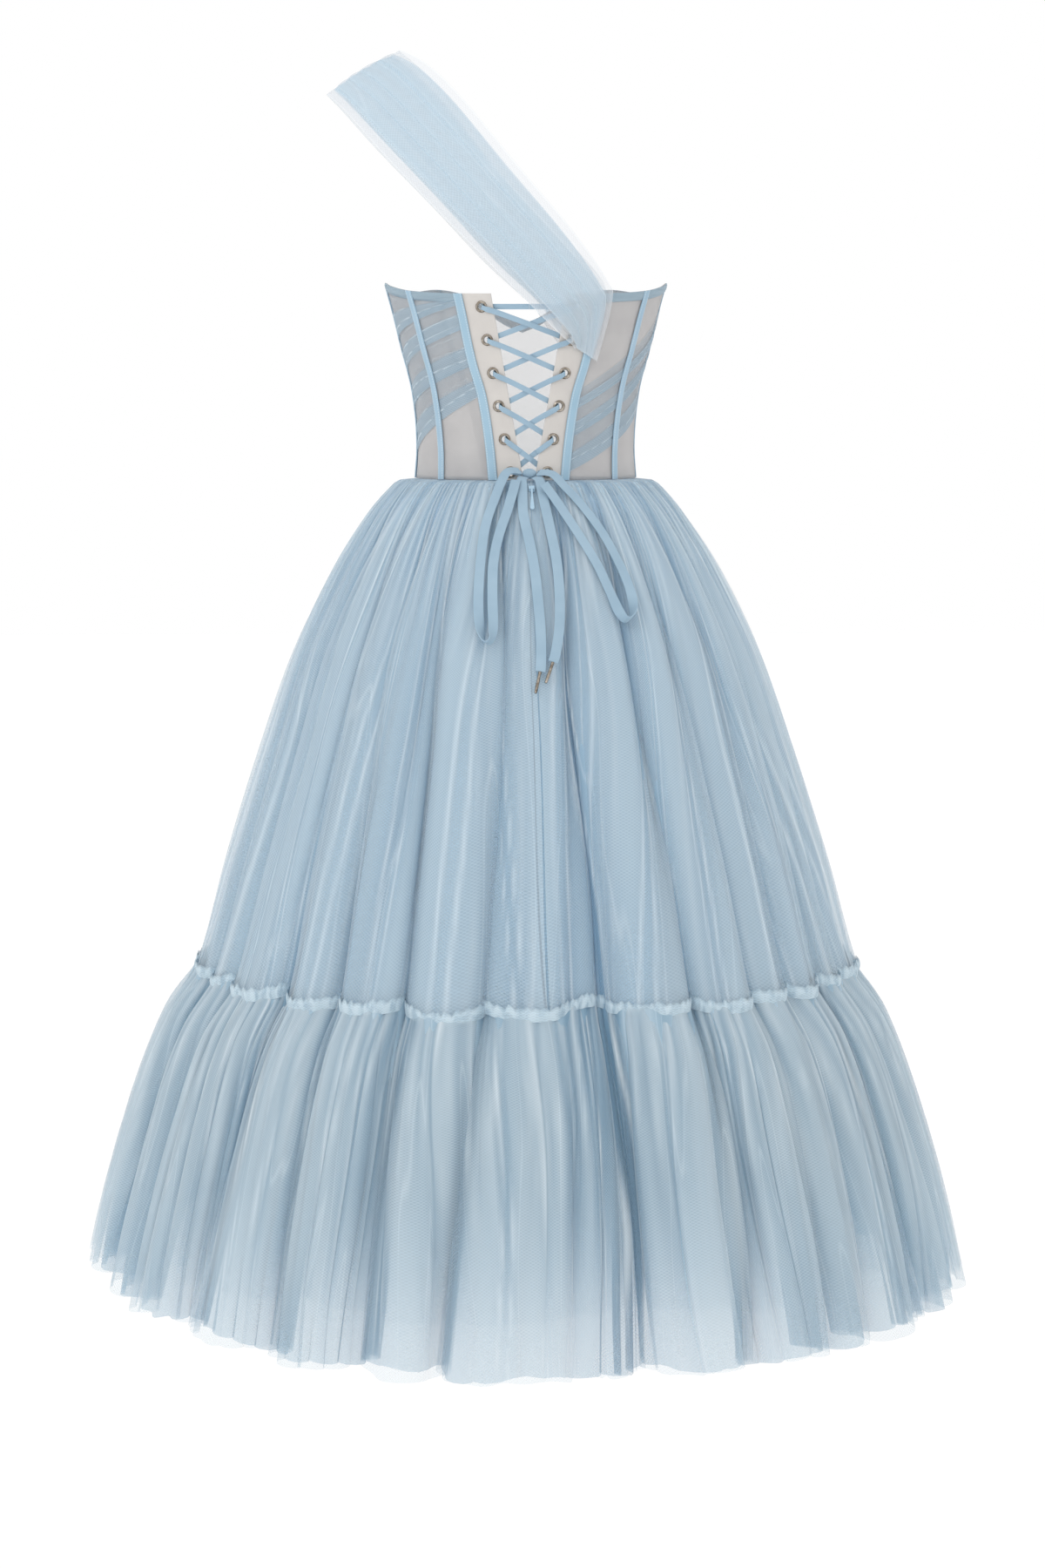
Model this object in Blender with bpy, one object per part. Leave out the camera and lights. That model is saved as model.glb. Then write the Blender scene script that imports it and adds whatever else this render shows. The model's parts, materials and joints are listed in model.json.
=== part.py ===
"""A one-shoulder corset cocktail dress, filled out as it is worn.

Metres, +Z up.  The origin is the centre of the waist seam.  The laced back
faces -Y, the front +Y, and the wearer's right side +X.  Angles round the body
are turns from the centre back, positive towards +X.
"""

import math
from collections import namedtuple

import bmesh
import bpy
from mathutils import Matrix, Vector

MM = 0.001

# Driving dimensions of the bodice
CLOTH = 1.2 * MM
SEAM_GAP = 0.3 * MM
WAIST_TO_SIDE_POINT = 0.199
PLACKET_PROUD = 0.6 * MM
DRAPE_FACES = (0.8 * MM, 1.8 * MM)
TAPE_FACES = (2.3 * MM, 3.3 * MM)
TAPE_WIDTH = 9.5 * MM
BINDING_HEIGHT = 9.0 * MM
PLACKET_CLEAR = 1.2 * MM
CUP_RISE = 0.017
CUP_TURN = math.radians(143)
CUP_HEIGHT = 0.150
CUP_SPREAD = math.radians(24)
CUP_TALL = 0.042

# Driving dimensions of the skirt
FOLDS = 26
FOLD_WANDER = math.radians(3.2)
SEAM_HEIGHT = -0.506
HEM_HEIGHT = -0.838
SKIRT_CLOTH = 1.8 * MM
UNDERSKIRT_TOP = -0.020
UNDERSKIRT_HEM = -0.750
WAIST_OVAL = 0.0248
OVAL_FADE = 0.15
BAND_TOP = SEAM_HEIGHT + 6.6 * MM
BAND_BOTTOM = SEAM_HEIGHT - 4.4 * MM
BAND_FACES = (0.4 * MM, 1.4 * MM)

# Driving dimensions of the hardware and the lace
EYELETS_PER_SIDE = 6
EYELET_TOP = 0.174
EYELET_PITCH = 0.0332
EYELET_INSET = 11.7 * MM
EYELET_BORE = 3.4 * MM
EYELET_BARREL = 4.0 * MM
EYELET_FLANGE = 6.0 * MM
EYELET_HOLE = 4.4 * MM
EYELET_SIDES = 12
LACE_THICKNESS = 1.2 * MM
LACING_WIDTH = 5.4 * MM
LACE_IN_EYELET = 4.4 * MM
BOW_WIDTH = 10.0 * MM
# Heights of a strand off the cloth as it leaves one placket, crosses the other
# strand and dives under the other placket, held for a distance each side
STRAND_OVER = (1.6 * MM, 1.4 * MM, 1.4 * MM, 0.9 * MM, -2.3 * MM)
STRAND_UNDER = (1.6 * MM, -0.6 * MM, -1.3 * MM, -1.6 * MM, -2.3 * MM)
STRAND_HOLD = 4.9 * MM
# How far from its eyelets a strand leaves one placket and dives under the other
STRAND_LEAVES = 15.8 * MM
STRAND_DIVES = 12.9 * MM
KNOT_CENTRE = Vector((0.0, -0.0958, 0.0068))
KNOT_SIZE = Vector((15.0, 10.5, 10.5)) * MM
AGLET_LENGTH = 23.0 * MM
AGLET_RADIUS = 1.7 * MM

# Driving dimensions of the zip
ZIP_SIDE = 1.5 * MM
ZIP_HEIGHT = -0.0082
SLIDER_SIZE = Vector((5.6, 7.5, 1.4)) * MM
SLIDER_LIFT = 0.5 * MM
BAR_RISE = 1.5 * MM
BAR_RADIUS = 0.45 * MM
EYE_RADIUS = 1.1 * MM
EYE_BORE = 0.75 * MM
EYE_WIDTH = 2.6 * MM
TAB_LENGTH = 28.0 * MM
TAB_WIDTH = 4.2 * MM
TAB_THICKNESS = 0.8 * MM
TAB_LEAN = math.radians(4.0)

Ring = namedtuple("Ring", "height half_width back_depth front_depth")
BODICE_RINGS = (
    Ring(0.000, 0.1128, 0.0880, 0.0890),
    Ring(0.030, 0.1108, 0.0868, 0.0905),
    Ring(0.065, 0.1125, 0.0872, 0.0945),
    Ring(0.097, 0.1173, 0.0892, 0.1000),
    Ring(0.132, 0.1266, 0.0922, 0.1050),
    Ring(0.165, 0.1345, 0.0950, 0.1070),
    Ring(0.200, 0.1440, 0.0980, 0.1060),
)

Level = namedtuple("Level", "height value")
# Turn of each seam of the bodice at a height, in degrees from the centre back
BACK_SEAM = (Level(0.0, 18.5), Level(0.083, 23.8), Level(0.117, 27.2), Level(0.190, 30.6))
SIDE_BACK_SEAM = (Level(0.0, 50.5), Level(0.054, 52.8), Level(0.110, 54.8), Level(0.190, 58.0))
SIDE_SEAM = (Level(0.0, 99.0), Level(0.200, 98.0))
CUP_SEAM = (Level(0.0, 160.0), Level(0.080, 151.0), Level(0.150, 143.0), Level(0.200, 142.0))
# Half of the lacing gap, in metres
GAP_HALF = (Level(0.0, 0.0055), Level(0.187, 0.0385))

Edge = namedtuple("Edge", "turn height")
TOP_EDGE = (
    Edge(0, 0.1870), Edge(34, 0.1875), Edge(58, 0.1905), Edge(76, 0.1955),
    Edge(89, WAIST_TO_SIDE_POINT), Edge(104, 0.1950), Edge(122, 0.1900), Edge(143, 0.1935),
    Edge(160, 0.1840), Edge(172, 0.1660), Edge(180, 0.1580),
)

Band = namedtuple("Band", "name back_low back_high side_turn side_low side_high")
# Diagonal drapes: heights where each leaves the back seam and where it goes round the side
LEFT_BANDS = (
    Band("lower", 0.0850, 0.1080, -95.0, 0.0200, 0.0600),
    Band("middle", 0.1150, 0.1420, -95.0, 0.0680, 0.0960),
    Band("upper", 0.1520, 0.1740, -95.0, 0.1050, 0.1300),
)
RIGHT_BANDS = (
    Band("lower", 0.0070, 0.0330, 80.0, 0.0640, 0.1000),
    Band("middle", 0.0420, 0.0620, 92.0, 0.1150, 0.1420),
    Band("upper", 0.0700, 0.0840, 95.0, 0.1500, 0.1750),
)

Profile = namedtuple("Profile", "height radius fold")
# Outline of the skirt from the waist to the hem, with the depth of its folds
SKIRT_PROFILE = (
    Profile(-0.0003, 0.1150, 0.0000), Profile(-0.0013, 0.1285, 0.0002),
    Profile(-0.0100, 0.1415, 0.0008), Profile(-0.0370, 0.1657, 0.0022),
    Profile(-0.0910, 0.2009, 0.0050), Profile(-0.1700, 0.2395, 0.0085),
    Profile(-0.2790, 0.2778, 0.0115), Profile(-0.3900, 0.3135, 0.0130),
    Profile(SEAM_HEIGHT, 0.3480, 0.0140), Profile(-0.5500, 0.3735, 0.0180),
    Profile(-0.6310, 0.4035, 0.0240), Profile(-0.7400, 0.4362, 0.0300),
    Profile(-0.8380, 0.4590, 0.0340),
)
UNDERSKIRT_CLEAR = (
    Level(UNDERSKIRT_TOP, 0.0006), Level(-0.07, 0.0040), Level(-0.16, 0.0060),
    Level(SEAM_HEIGHT, 0.0100), Level(UNDERSKIRT_HEM, 0.0160),
)
HEM_LIFT = (Edge(-180, 0.012), Edge(-90, 0.030), Edge(0, 0.0), Edge(90, 0.012), Edge(180, 0.012))

Station = namedtuple("Station", "outer inner crown")
# The strap from its tip on the back, over the left shoulder, to the front
STRAP = (
    Station((0.0460, -0.0900, 0.1340), (0.0670, -0.0808, 0.1200), 0.000),
    Station((0.0318, -0.0985, 0.1456), (0.0821, -0.0835, 0.1790), 0.001),
    Station((0.0053, -0.1035, 0.1720), (0.0759, -0.0895, 0.2013), 0.003),
    Station((-0.0389, -0.1040, 0.2170), (0.0406, -0.1030, 0.2507), 0.003),
    Station((-0.0919, -0.0930, 0.2700), (-0.0124, -0.1000, 0.3134), 0.004),
    Station((-0.1459, -0.0620, 0.3270), (-0.0658, -0.0700, 0.3797), 0.005),
    Station((-0.1830, -0.0330, 0.3700), (-0.1010, -0.0400, 0.4160), 0.005),
    Station((-0.2020, -0.0030, 0.3880), (-0.1280, -0.0060, 0.4320), 0.004),
    Station((-0.1870, 0.0330, 0.3750), (-0.1070, 0.0400, 0.4180), 0.004),
    Station((-0.1490, 0.0620, 0.3340), (-0.0710, 0.0700, 0.3850), 0.004),
    Station((-0.0950, 0.0900, 0.2790), (-0.0180, 0.0980, 0.3190), 0.003),
    Station((-0.0410, 0.1080, 0.2220), (0.0370, 0.1080, 0.2560), 0.002),
)
Landing = namedtuple("Landing", "outer_turn outer_height inner_turn inner_height lift")
# The strap's last stretch lies across the front and on the right cup
STRAP_FRONT = (
    Landing(177.0, 0.1780, 149.0, 0.2090, 0.0072), Landing(171.0, 0.1600, 144.0, 0.1900, 0.0060),
    Landing(165.0, 0.1420, 141.0, 0.1700, 0.0060), Landing(162.8, 0.1360, 144.6, 0.1450, 0.0064),
    Landing(160.0, 0.1300, 150.0, 0.1180, 0.0060),
)
STRAP_CLOTH = 1.5 * MM
STRAP_COLUMNS = (0.0, 0.25, 0.5, 0.75, 1.0)
TORSO_MIDDLE = Vector((-0.09, 0.0, 0.20))

# Routes of the bow on the skirt: side, height, lift off the cloth, and the
# tape's roll, which is 0 lying flat and 90 standing on its edge
Pass = namedtuple("Pass", "side height lift roll")
LEFT_LOOP = (
    Pass(-0.0088, 0.0094, 0.0085, 0), Pass(-0.0200, 0.0082, 0.0190, 0),
    Pass(-0.0340, -0.0150, 0.0030, 0), Pass(-0.0450, -0.0440, 0.0022, 0),
    Pass(-0.0505, -0.0780, 0.0020, 0), Pass(-0.0530, -0.1090, 0.0024, 0),
    Pass(-0.0525, -0.1350, 0.0036, 25), Pass(-0.0490, -0.1510, 0.0060, 70),
    Pass(-0.0445, -0.1545, 0.0064, 90), Pass(-0.0405, -0.1505, 0.0060, 110),
    Pass(-0.0390, -0.1380, 0.0038, 155), Pass(-0.0395, -0.1090, 0.0024, 180),
    Pass(-0.0380, -0.0780, 0.0020, 180), Pass(-0.0320, -0.0520, 0.0020, 180),
    Pass(-0.0232, -0.0290, 0.0034, 180), Pass(-0.0172, -0.0120, 0.0070, 180),
    Pass(-0.0118, 0.0012, 0.0208, 180),
)
RIGHT_LOOP = (
    Pass(0.0083, 0.0080, 0.0085, 180), Pass(0.0195, 0.0068, 0.0190, 180),
    Pass(0.0330, -0.0055, 0.0080, 180), Pass(0.0500, -0.0230, 0.0030, 180),
    Pass(0.0700, -0.0500, 0.0022, 180), Pass(0.0850, -0.0780, 0.0020, 180),
    Pass(0.0950, -0.1030, 0.0030, 170), Pass(0.0975, -0.1220, 0.0050, 120),
    Pass(0.0940, -0.1320, 0.0064, 90), Pass(0.0885, -0.1330, 0.0062, 75),
    Pass(0.0830, -0.1250, 0.0042, 35), Pass(0.0770, -0.1100, 0.0026, 0),
    Pass(0.0640, -0.0810, 0.0022, 0), Pass(0.0490, -0.0560, 0.0030, 0),
    Pass(0.0340, -0.0330, 0.0048, 0), Pass(0.0220, -0.0150, 0.0062, 0),
    Pass(0.0120, -0.0020, 0.0165, 0),
)
LEFT_TAIL = (
    Pass(-0.0053, 0.0036, 0.0107, 0), Pass(-0.0070, 0.0012, 0.0180, 0), Pass(-0.0075, -0.0065, 0.0022, 0),
    Pass(-0.0078, -0.0180, 0.0018, 0), Pass(-0.0072, -0.0340, 0.0016, 0),
    Pass(-0.0020, -0.0600, 0.0016, 0), Pass(0.0020, -0.0850, 0.0016, 0),
    Pass(0.0050, -0.1170, 0.0016, 0), Pass(0.0068, -0.1490, 0.0016, 0),
    Pass(0.0064, -0.1750, 0.0018, 0), Pass(0.0054, -0.1820, 0.0022, 0),
)
RIGHT_TAIL = (
    Pass(0.0057, 0.0036, 0.0107, 0), Pass(0.0082, 0.0012, 0.0180, 0), Pass(0.0112, -0.0065, 0.0024, 0),
    Pass(0.0138, -0.0220, 0.0018, 0), Pass(0.0190, -0.0490, 0.0018, 0),
    Pass(0.0240, -0.0780, 0.0018, 0), Pass(0.0260, -0.1090, 0.0018, 0),
    Pass(0.0250, -0.1400, 0.0018, 0), Pass(0.0210, -0.1640, 0.0018, 0),
    Pass(0.0182, -0.1730, 0.0018, 0),
)

Finish = namedtuple("Finish", "colour roughness metallic")
FINISHES = {
    "tulle": Finish((0.40, 0.56, 0.69), 0.85, 0.0),
    "mesh": Finish((0.52, 0.50, 0.50), 0.85, 0.0),
    "placket_cloth": Finish((0.68, 0.64, 0.61), 0.8, 0.0),
    "tape": Finish((0.36, 0.55, 0.71), 0.7, 0.0),
    "lace": Finish((0.38, 0.57, 0.72), 0.6, 0.0),
    "metal": Finish((0.78, 0.74, 0.68), 0.25, 1.0),
    "zip_paint": Finish((0.42, 0.60, 0.74), 0.35, 0.0),
}


def clear_scene():
    """Remove the objects that a new file holds."""
    for thing in list(bpy.data.objects):
        bpy.data.objects.remove(thing)


def make_materials():
    """One Principled material for each finish."""
    made = {}
    for name, finish in FINISHES.items():
        material = bpy.data.materials.new(name)
        material.use_nodes = True
        shader = material.node_tree.nodes["Principled BSDF"]
        shader.inputs["Base Color"].default_value = (*finish.colour, 1.0)
        shader.inputs["Roughness"].default_value = finish.roughness
        shader.inputs["Metallic"].default_value = finish.metallic
        made[name] = material
    return made


def along(table, column, key, where):
    """Value of a table's column at a key, on a smooth curve through its rows."""
    rows = sorted(table, key=lambda row: getattr(row, key))
    keys = [getattr(row, key) for row in rows]
    values = [getattr(row, column) for row in rows]
    if where <= keys[0]:
        return values[0]
    if where >= keys[-1]:
        return values[-1]
    last = next(i for i in range(1, len(keys)) if keys[i] >= where)
    first = last - 1
    span = keys[last] - keys[first]
    share = (where - keys[first]) / span

    def slope(i):
        low, high = max(i - 1, 0), min(i + 1, len(keys) - 1)
        return (values[high] - values[low]) / (keys[high] - keys[low])

    rise = values[last] - values[first]
    start, end = slope(first) * span, slope(last) * span
    bend = start * (1 - share) - end * share + (2 * share - 1) * rise
    return values[first] + rise * share + bend * share * (1 - share)


def bell(distance):
    """A smooth bump that is 1 at 0."""
    return math.exp(-distance * distance)


# Surfaces of the dress --------------------------------------------------

def bodice_point(turn, height, out):
    """Point on the bodice at a turn and height, moved out from the cloth."""
    width = along(BODICE_RINGS, "half_width", "height", height) + out
    if math.cos(turn) > 0:
        depth = along(BODICE_RINGS, "back_depth", "height", height) + out
    else:
        from_back = abs(math.remainder(turn, 2 * math.pi))
        cup = bell((from_back - CUP_TURN) / CUP_SPREAD) * bell((height - CUP_HEIGHT) / CUP_TALL)
        depth = along(BODICE_RINGS, "front_depth", "height", height) + out
        depth += CUP_RISE * cup * min(1.0, -3 * math.cos(turn))
    return Vector((width * math.sin(turn), -depth * math.cos(turn), height))


def bodice_turn(side, height):
    """Turn of a point of the back that lies a distance to the side."""
    return math.asin(side / along(BODICE_RINGS, "half_width", "height", height))


def top_edge(turn):
    """Height of the bodice's top edge."""
    return along(TOP_EDGE, "height", "turn", abs(math.degrees(turn)))


def seam_turn(seam, side, height):
    """Turn of a seam on one side of the body at a height."""
    return side * math.radians(along(seam, "value", "height", height))


def gap_turn(side, height):
    """Turn of the placket's inner edge."""
    half = GAP_HALF[0].value + (GAP_HALF[1].value - GAP_HALF[0].value) * height / GAP_HALF[1].height
    return bodice_turn(side * half, height)


def fold_turn(fold):
    """Turn of a place counted in folds from the centre back; the folds are uneven."""
    even = 2 * math.pi * fold / FOLDS
    wander = math.sin(3 * even) + 0.6 * math.sin(5 * even) + 0.4 * math.sin(8 * even)
    return even + FOLD_WANDER * wander


def skirt_point(fold, height, out):
    """Point on the folded skirt; whole numbers of folds are its crests."""
    turn = fold_turn(fold)
    inward = along(SKIRT_PROFILE, "fold", "height", height) * (1 - math.cos(2 * math.pi * fold)) / 2
    return ring_point(turn, height, out - inward)


def ring_point(turn, height, out):
    """Point on the outline that the skirt's crests touch, moved out."""
    radius = along(SKIRT_PROFILE, "radius", "height", height) + out
    depth = radius - WAIST_OVAL * math.exp(height / OVAL_FADE)
    return Vector((radius * math.sin(turn), -depth * math.cos(turn), height))


def underskirt_point(fold, height, out):
    """Point on the under layer, which hangs inside the deepest folds."""
    inward = along(SKIRT_PROFILE, "fold", "height", height) + SKIRT_CLOTH
    inward += along(UNDERSKIRT_CLEAR, "value", "height", height)
    return ring_point(fold_turn(fold), height, out - inward)


def on_skirt(side, height, lift):
    """Point over the back of the skirt, lifted off the crests."""
    radius = along(SKIRT_PROFILE, "radius", "height", height)
    return ring_point(math.asin(side / radius), height, lift)


# Making pieces ----------------------------------------------------------

def steps(first, last, count):
    """Evenly spaced values from first to last."""
    return [first + (last - first) * i / count for i in range(count + 1)]


def add_object(name, mesh, material):
    """Put a mesh in the dress's collection, held by its empty."""
    mesh.materials.append(MATERIALS[material])
    piece = bpy.data.objects.new(name, mesh)
    DRESS.objects.link(piece)
    piece.parent = HOLDER
    return piece


def wall(name, material, place, columns, rows, faces):
    """A closed wall of cloth between two offsets of one surface.

    place(column, row, out) gives a point.  A grid is extruded to a second
    layer, and each vertex then goes to its place on its own face.
    """
    inner, outer = faces
    across, up = len(columns) - 1, len(rows) - 1
    cloth = bmesh.new()
    bmesh.ops.create_grid(cloth, x_segments=across, y_segments=up, size=1.0)
    front = list(cloth.verts)
    copied = bmesh.ops.extrude_face_region(cloth, geom=cloth.faces[:], use_keep_orig=True)
    back = [item for item in copied["geom"] if isinstance(item, bmesh.types.BMVert)]
    for layer, out in ((front, outer), (back, inner)):
        for vertex in layer:
            column = round((vertex.co.x + 1) / 2 * across)
            row = round((vertex.co.y + 1) / 2 * up)
            vertex.co = place(columns[column], rows[row], out)
    bmesh.ops.recalc_face_normals(cloth, faces=cloth.faces)
    if cloth.calc_volume(signed=True) < 0:
        bmesh.ops.reverse_faces(cloth, faces=cloth.faces)
    mesh = bpy.data.meshes.new(name)
    cloth.to_mesh(mesh)
    cloth.free()
    return add_object(name, mesh, material)


def between(first_turn, last_turn, bottom, top):
    """Place function of a bodice piece between two lines that depend on height.

    Its column is the share of the way round and its row the share of the way up.
    """
    def place(share, rise, out):
        middle = (first_turn(rise * 0.19) + last_turn(rise * 0.19)) / 2
        height = bottom(middle) + rise * (top(middle) - bottom(middle))
        turn = first_turn(height) + share * (last_turn(height) - first_turn(height))
        height = bottom(turn) + rise * (top(turn) - bottom(turn))
        return bodice_point(turn, height, out)
    return place


def waist(_turn):
    """Height of the bodice's lower edge."""
    return 0.0


def inset(line, side_of_line):
    """A line moved aside by half of the gap at a seam."""
    def moved(height):
        width = along(BODICE_RINGS, "half_width", "height", height)
        return line(height) + side_of_line * SEAM_GAP / 2 / (0.8 * width)
    return moved


def seam_line(seam, side):
    """Function of height that gives a seam's turn."""
    return lambda height: seam_turn(seam, side, height)


PANEL_ROWS = steps(0.0, 1.0, 8)
SIDES = {"left": -1, "right": 1}


def build_panels():
    """The mesh panels of the bodice, three on each side and one at the front."""
    spans = (("back", BACK_SEAM, SIDE_BACK_SEAM, 5), ("side_back", SIDE_BACK_SEAM, SIDE_SEAM, 6),
             ("cup", SIDE_SEAM, CUP_SEAM, 6))
    for label, side in SIDES.items():
        for kind, first, last, count in spans:
            place = between(inset(seam_line(first, side), side), inset(seam_line(last, side), -side),
                            waist, top_edge)
            wall(f"panel_{kind}_{label}", "mesh", place, steps(0, 1, count), PANEL_ROWS, (-CLOTH, 0.0))
    turn_back = 2 * math.pi
    place = between(inset(seam_line(CUP_SEAM, 1), 1),
                    lambda height: turn_back + inset(seam_line(CUP_SEAM, -1), -1)(height),
                    waist, lambda turn: top_edge(min(turn, turn_back - turn)))
    wall("panel_centre_front", "mesh", place, steps(0, 1, 6), PANEL_ROWS, (-CLOTH, 0.0))


def eyelet_frame(side, row):
    """Matrix at an eyelet: local Z runs out of the cloth, X towards the lacing gap."""
    height = EYELET_TOP - row * EYELET_PITCH
    half = GAP_HALF[0].value + (GAP_HALF[1].value - GAP_HALF[0].value) * height / GAP_HALF[1].height
    turn = bodice_turn(side * (half + EYELET_INSET), height)
    centre = bodice_point(turn, height, 0.0)
    round_step = bodice_point(turn + 0.02, height, 0.0) - bodice_point(turn - 0.02, height, 0.0)
    up_step = bodice_point(turn, height + 0.004, 0.0) - bodice_point(turn, height - 0.004, 0.0)
    outward = round_step.cross(up_step).normalized()
    to_gap = (round_step * -side).normalized()
    upward = outward.cross(to_gap)
    frame = Matrix((to_gap, upward, outward)).transposed().to_4x4()
    frame.translation = centre
    return frame


def build_plackets():
    """The two lacing plackets, each with a row of holes for its eyelets."""
    for label, side in SIDES.items():
        place = between(lambda height, side=side: gap_turn(side, height),
                        inset(seam_line(BACK_SEAM, side), -side), waist, top_edge)
        piece = wall(f"placket_{label}", "placket_cloth", place, steps(0, 1, 3), PANEL_ROWS,
                     (-CLOTH, PLACKET_PROUD))
        holes = bmesh.new()
        for row in range(EYELETS_PER_SIDE):
            bmesh.ops.create_cone(holes, cap_ends=True, segments=EYELET_SIDES, radius1=EYELET_HOLE,
                                  radius2=EYELET_HOLE, depth=12 * MM, matrix=eyelet_frame(side, row))
        mesh = bpy.data.meshes.new(f"holes_{label}")
        holes.to_mesh(mesh)
        holes.free()
        cutter = bpy.data.objects.new(f"holes_{label}", mesh)
        CUTTERS.objects.link(cutter)
        cutter.hide_render = True
        cutter.display_type = "WIRE"
        cut = piece.modifiers.new("eyelet_holes", "BOOLEAN")
        cut.operation = "DIFFERENCE"
        cut.object = cutter


def eyelet_mesh():
    """A two-part eyelet as one turned ring: a barrel with a flange on each face."""
    outside, inside = PLACKET_PROUD + 0.3 * MM, -CLOTH - 0.3 * MM
    rim = 0.9 * MM
    outline = ((EYELET_BORE, outside + rim), (EYELET_FLANGE - 0.6 * MM, outside + rim),
               (EYELET_FLANGE, outside), (EYELET_BARREL, outside), (EYELET_BARREL, inside),
               (EYELET_FLANGE, inside), (EYELET_FLANGE, inside - rim), (EYELET_BORE, inside - rim))
    ring = bmesh.new()
    corners = [ring.verts.new((radius, 0.0, height)) for radius, height in outline]
    edges = [ring.edges.new((corners[i - 1], corners[i])) for i in range(len(corners))]
    bmesh.ops.spin(ring, geom=corners + edges, cent=(0, 0, 0), axis=(0, 0, 1), dvec=(0, 0, 0),
                   angle=2 * math.pi, steps=EYELET_SIDES, use_merge=True, use_duplicate=False)
    bmesh.ops.remove_doubles(ring, verts=ring.verts, dist=0.01 * MM)
    bmesh.ops.recalc_face_normals(ring, faces=ring.faces)
    mesh = bpy.data.meshes.new("eyelet")
    ring.to_mesh(mesh)
    ring.free()
    mesh.materials.append(MATERIALS["metal"])
    return mesh


def build_eyelets():
    """Six eyelets on each placket, all on one mesh."""
    mesh = eyelet_mesh()
    for label, side in SIDES.items():
        for row in range(EYELETS_PER_SIDE):
            piece = bpy.data.objects.new(f"eyelet_{label}_{row + 1}", mesh)
            piece.matrix_world = eyelet_frame(side, row)
            DRESS.objects.link(piece)


def beside(line, distance):
    """A line of the bodice moved round it by a distance."""
    def moved(height):
        width = along(BODICE_RINGS, "half_width", "height", height)
        turn = line(height)
        depth = along(BODICE_RINGS, "back_depth", "height", height)
        pace = math.hypot(width * math.cos(turn), depth * math.sin(turn))
        return turn + distance / pace
    return moved


def build_tapes():
    """Boning tapes over the seams of the bodice."""
    seams = {"inner": (BACK_SEAM, TAPE_WIDTH), "outer": (SIDE_BACK_SEAM, TAPE_WIDTH * 0.85),
             "side": (SIDE_SEAM, TAPE_WIDTH * 0.85), "cup": (CUP_SEAM, TAPE_WIDTH * 0.85)}
    for label, side in SIDES.items():
        for kind, (seam, width) in seams.items():
            line = seam_line(seam, side)
            place = between(beside(line, -width / 2), beside(line, width / 2), waist, top_edge)
            wall(f"tape_{kind}_{label}", "tape", place, [0, 1], PANEL_ROWS, TAPE_FACES)


def build_bindings():
    """The narrow tulle binding along the top edge, which the plackets go without."""
    def low(turn):
        return top_edge(turn) - BINDING_HEIGHT

    for label, side in SIDES.items():
        place = between(beside(seam_line(BACK_SEAM, side), side * PLACKET_CLEAR),
                        lambda height, side=side: side * math.radians(98.0), low, top_edge)
        wall(f"binding_back_{label}", "tulle", place, steps(0, 1, 9), [0, 1], DRAPE_FACES)

    start = math.radians(98.0) + 0.003
    turn_back = 2 * math.pi

    def front_top(turn):
        return top_edge(min(turn, turn_back - turn))

    place = between(lambda _height: start, lambda _height: turn_back - start,
                    lambda turn: front_top(turn) - BINDING_HEIGHT, front_top)
    wall("binding_front", "tulle", place, steps(0, 1, 20), [0, 1], DRAPE_FACES)


def build_drapes():
    """Diagonal bands of pleated tulle across the back panels."""
    for label, side, bands in (("left", -1, LEFT_BANDS), ("right", 1, RIGHT_BANDS)):
        for band in bands:
            def place(share, rise, out, side=side, band=band):
                low = band.back_low + share * (band.side_low - band.back_low)
                high = band.back_high + share * (band.side_high - band.back_high)
                height = low + rise * (high - low)
                start = beside(seam_line(BACK_SEAM, side), side * PLACKET_CLEAR)(height)
                turn = start + share * (math.radians(band.side_turn) - start)
                return bodice_point(turn, height, out)
            wall(f"drape_{band.name}_{label}", "tulle", place, steps(0, 1, 9), steps(0, 1, 2), DRAPE_FACES)


# The skirt ---------------------------------------------------------------

def hanging(surface, top, bottom):
    """Place function of a skirt piece: its row is the share of the way down."""
    def place(fold, drop, out):
        turn = math.degrees(fold_turn(fold))
        lowest = bottom + (along(HEM_LIFT, "height", "turn", (turn + 180) % 360 - 180)
                           if bottom < UNDERSKIRT_HEM else 0.0)
        return surface(fold, top + drop * (lowest - top), out)
    return place


def heights_as_shares(top, bottom, heights):
    """Rows at the heights where the outline bends, as shares of the way down."""
    return [(height - top) / (bottom - top) for height in heights]


def build_skirt():
    """The gathered upper tier: two backs that meet at the zip, and a front."""
    top, bottom = SKIRT_PROFILE[0].height, SEAM_HEIGHT + SEAM_GAP / 2
    rows = heights_as_shares(top, bottom, (top, -0.0013, -0.009, -0.020, -0.070, -0.160, -0.300, BAND_TOP,
                                           bottom))
    place = hanging(skirt_point, top, bottom)
    seam = 0.0045
    quarter = FOLDS / 4
    for name, first, last in (("skirt_back_right", seam, quarter), ("skirt_back_left", -quarter, -seam),
                              ("skirt_front", quarter + seam, 3 * quarter - seam)):
        wall(name, "tulle", place, fold_columns(first, last), rows, (-SKIRT_CLOTH, 0.0))


def fold_columns(first, last):
    """Four columns to a fold, at its crest, its sides and its trough, with two end columns."""
    quarters = [i / 4 for i in range(math.ceil(first * 4 + 0.1), math.floor(last * 4 - 0.1) + 1)]
    return [first] + quarters + [last]


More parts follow.
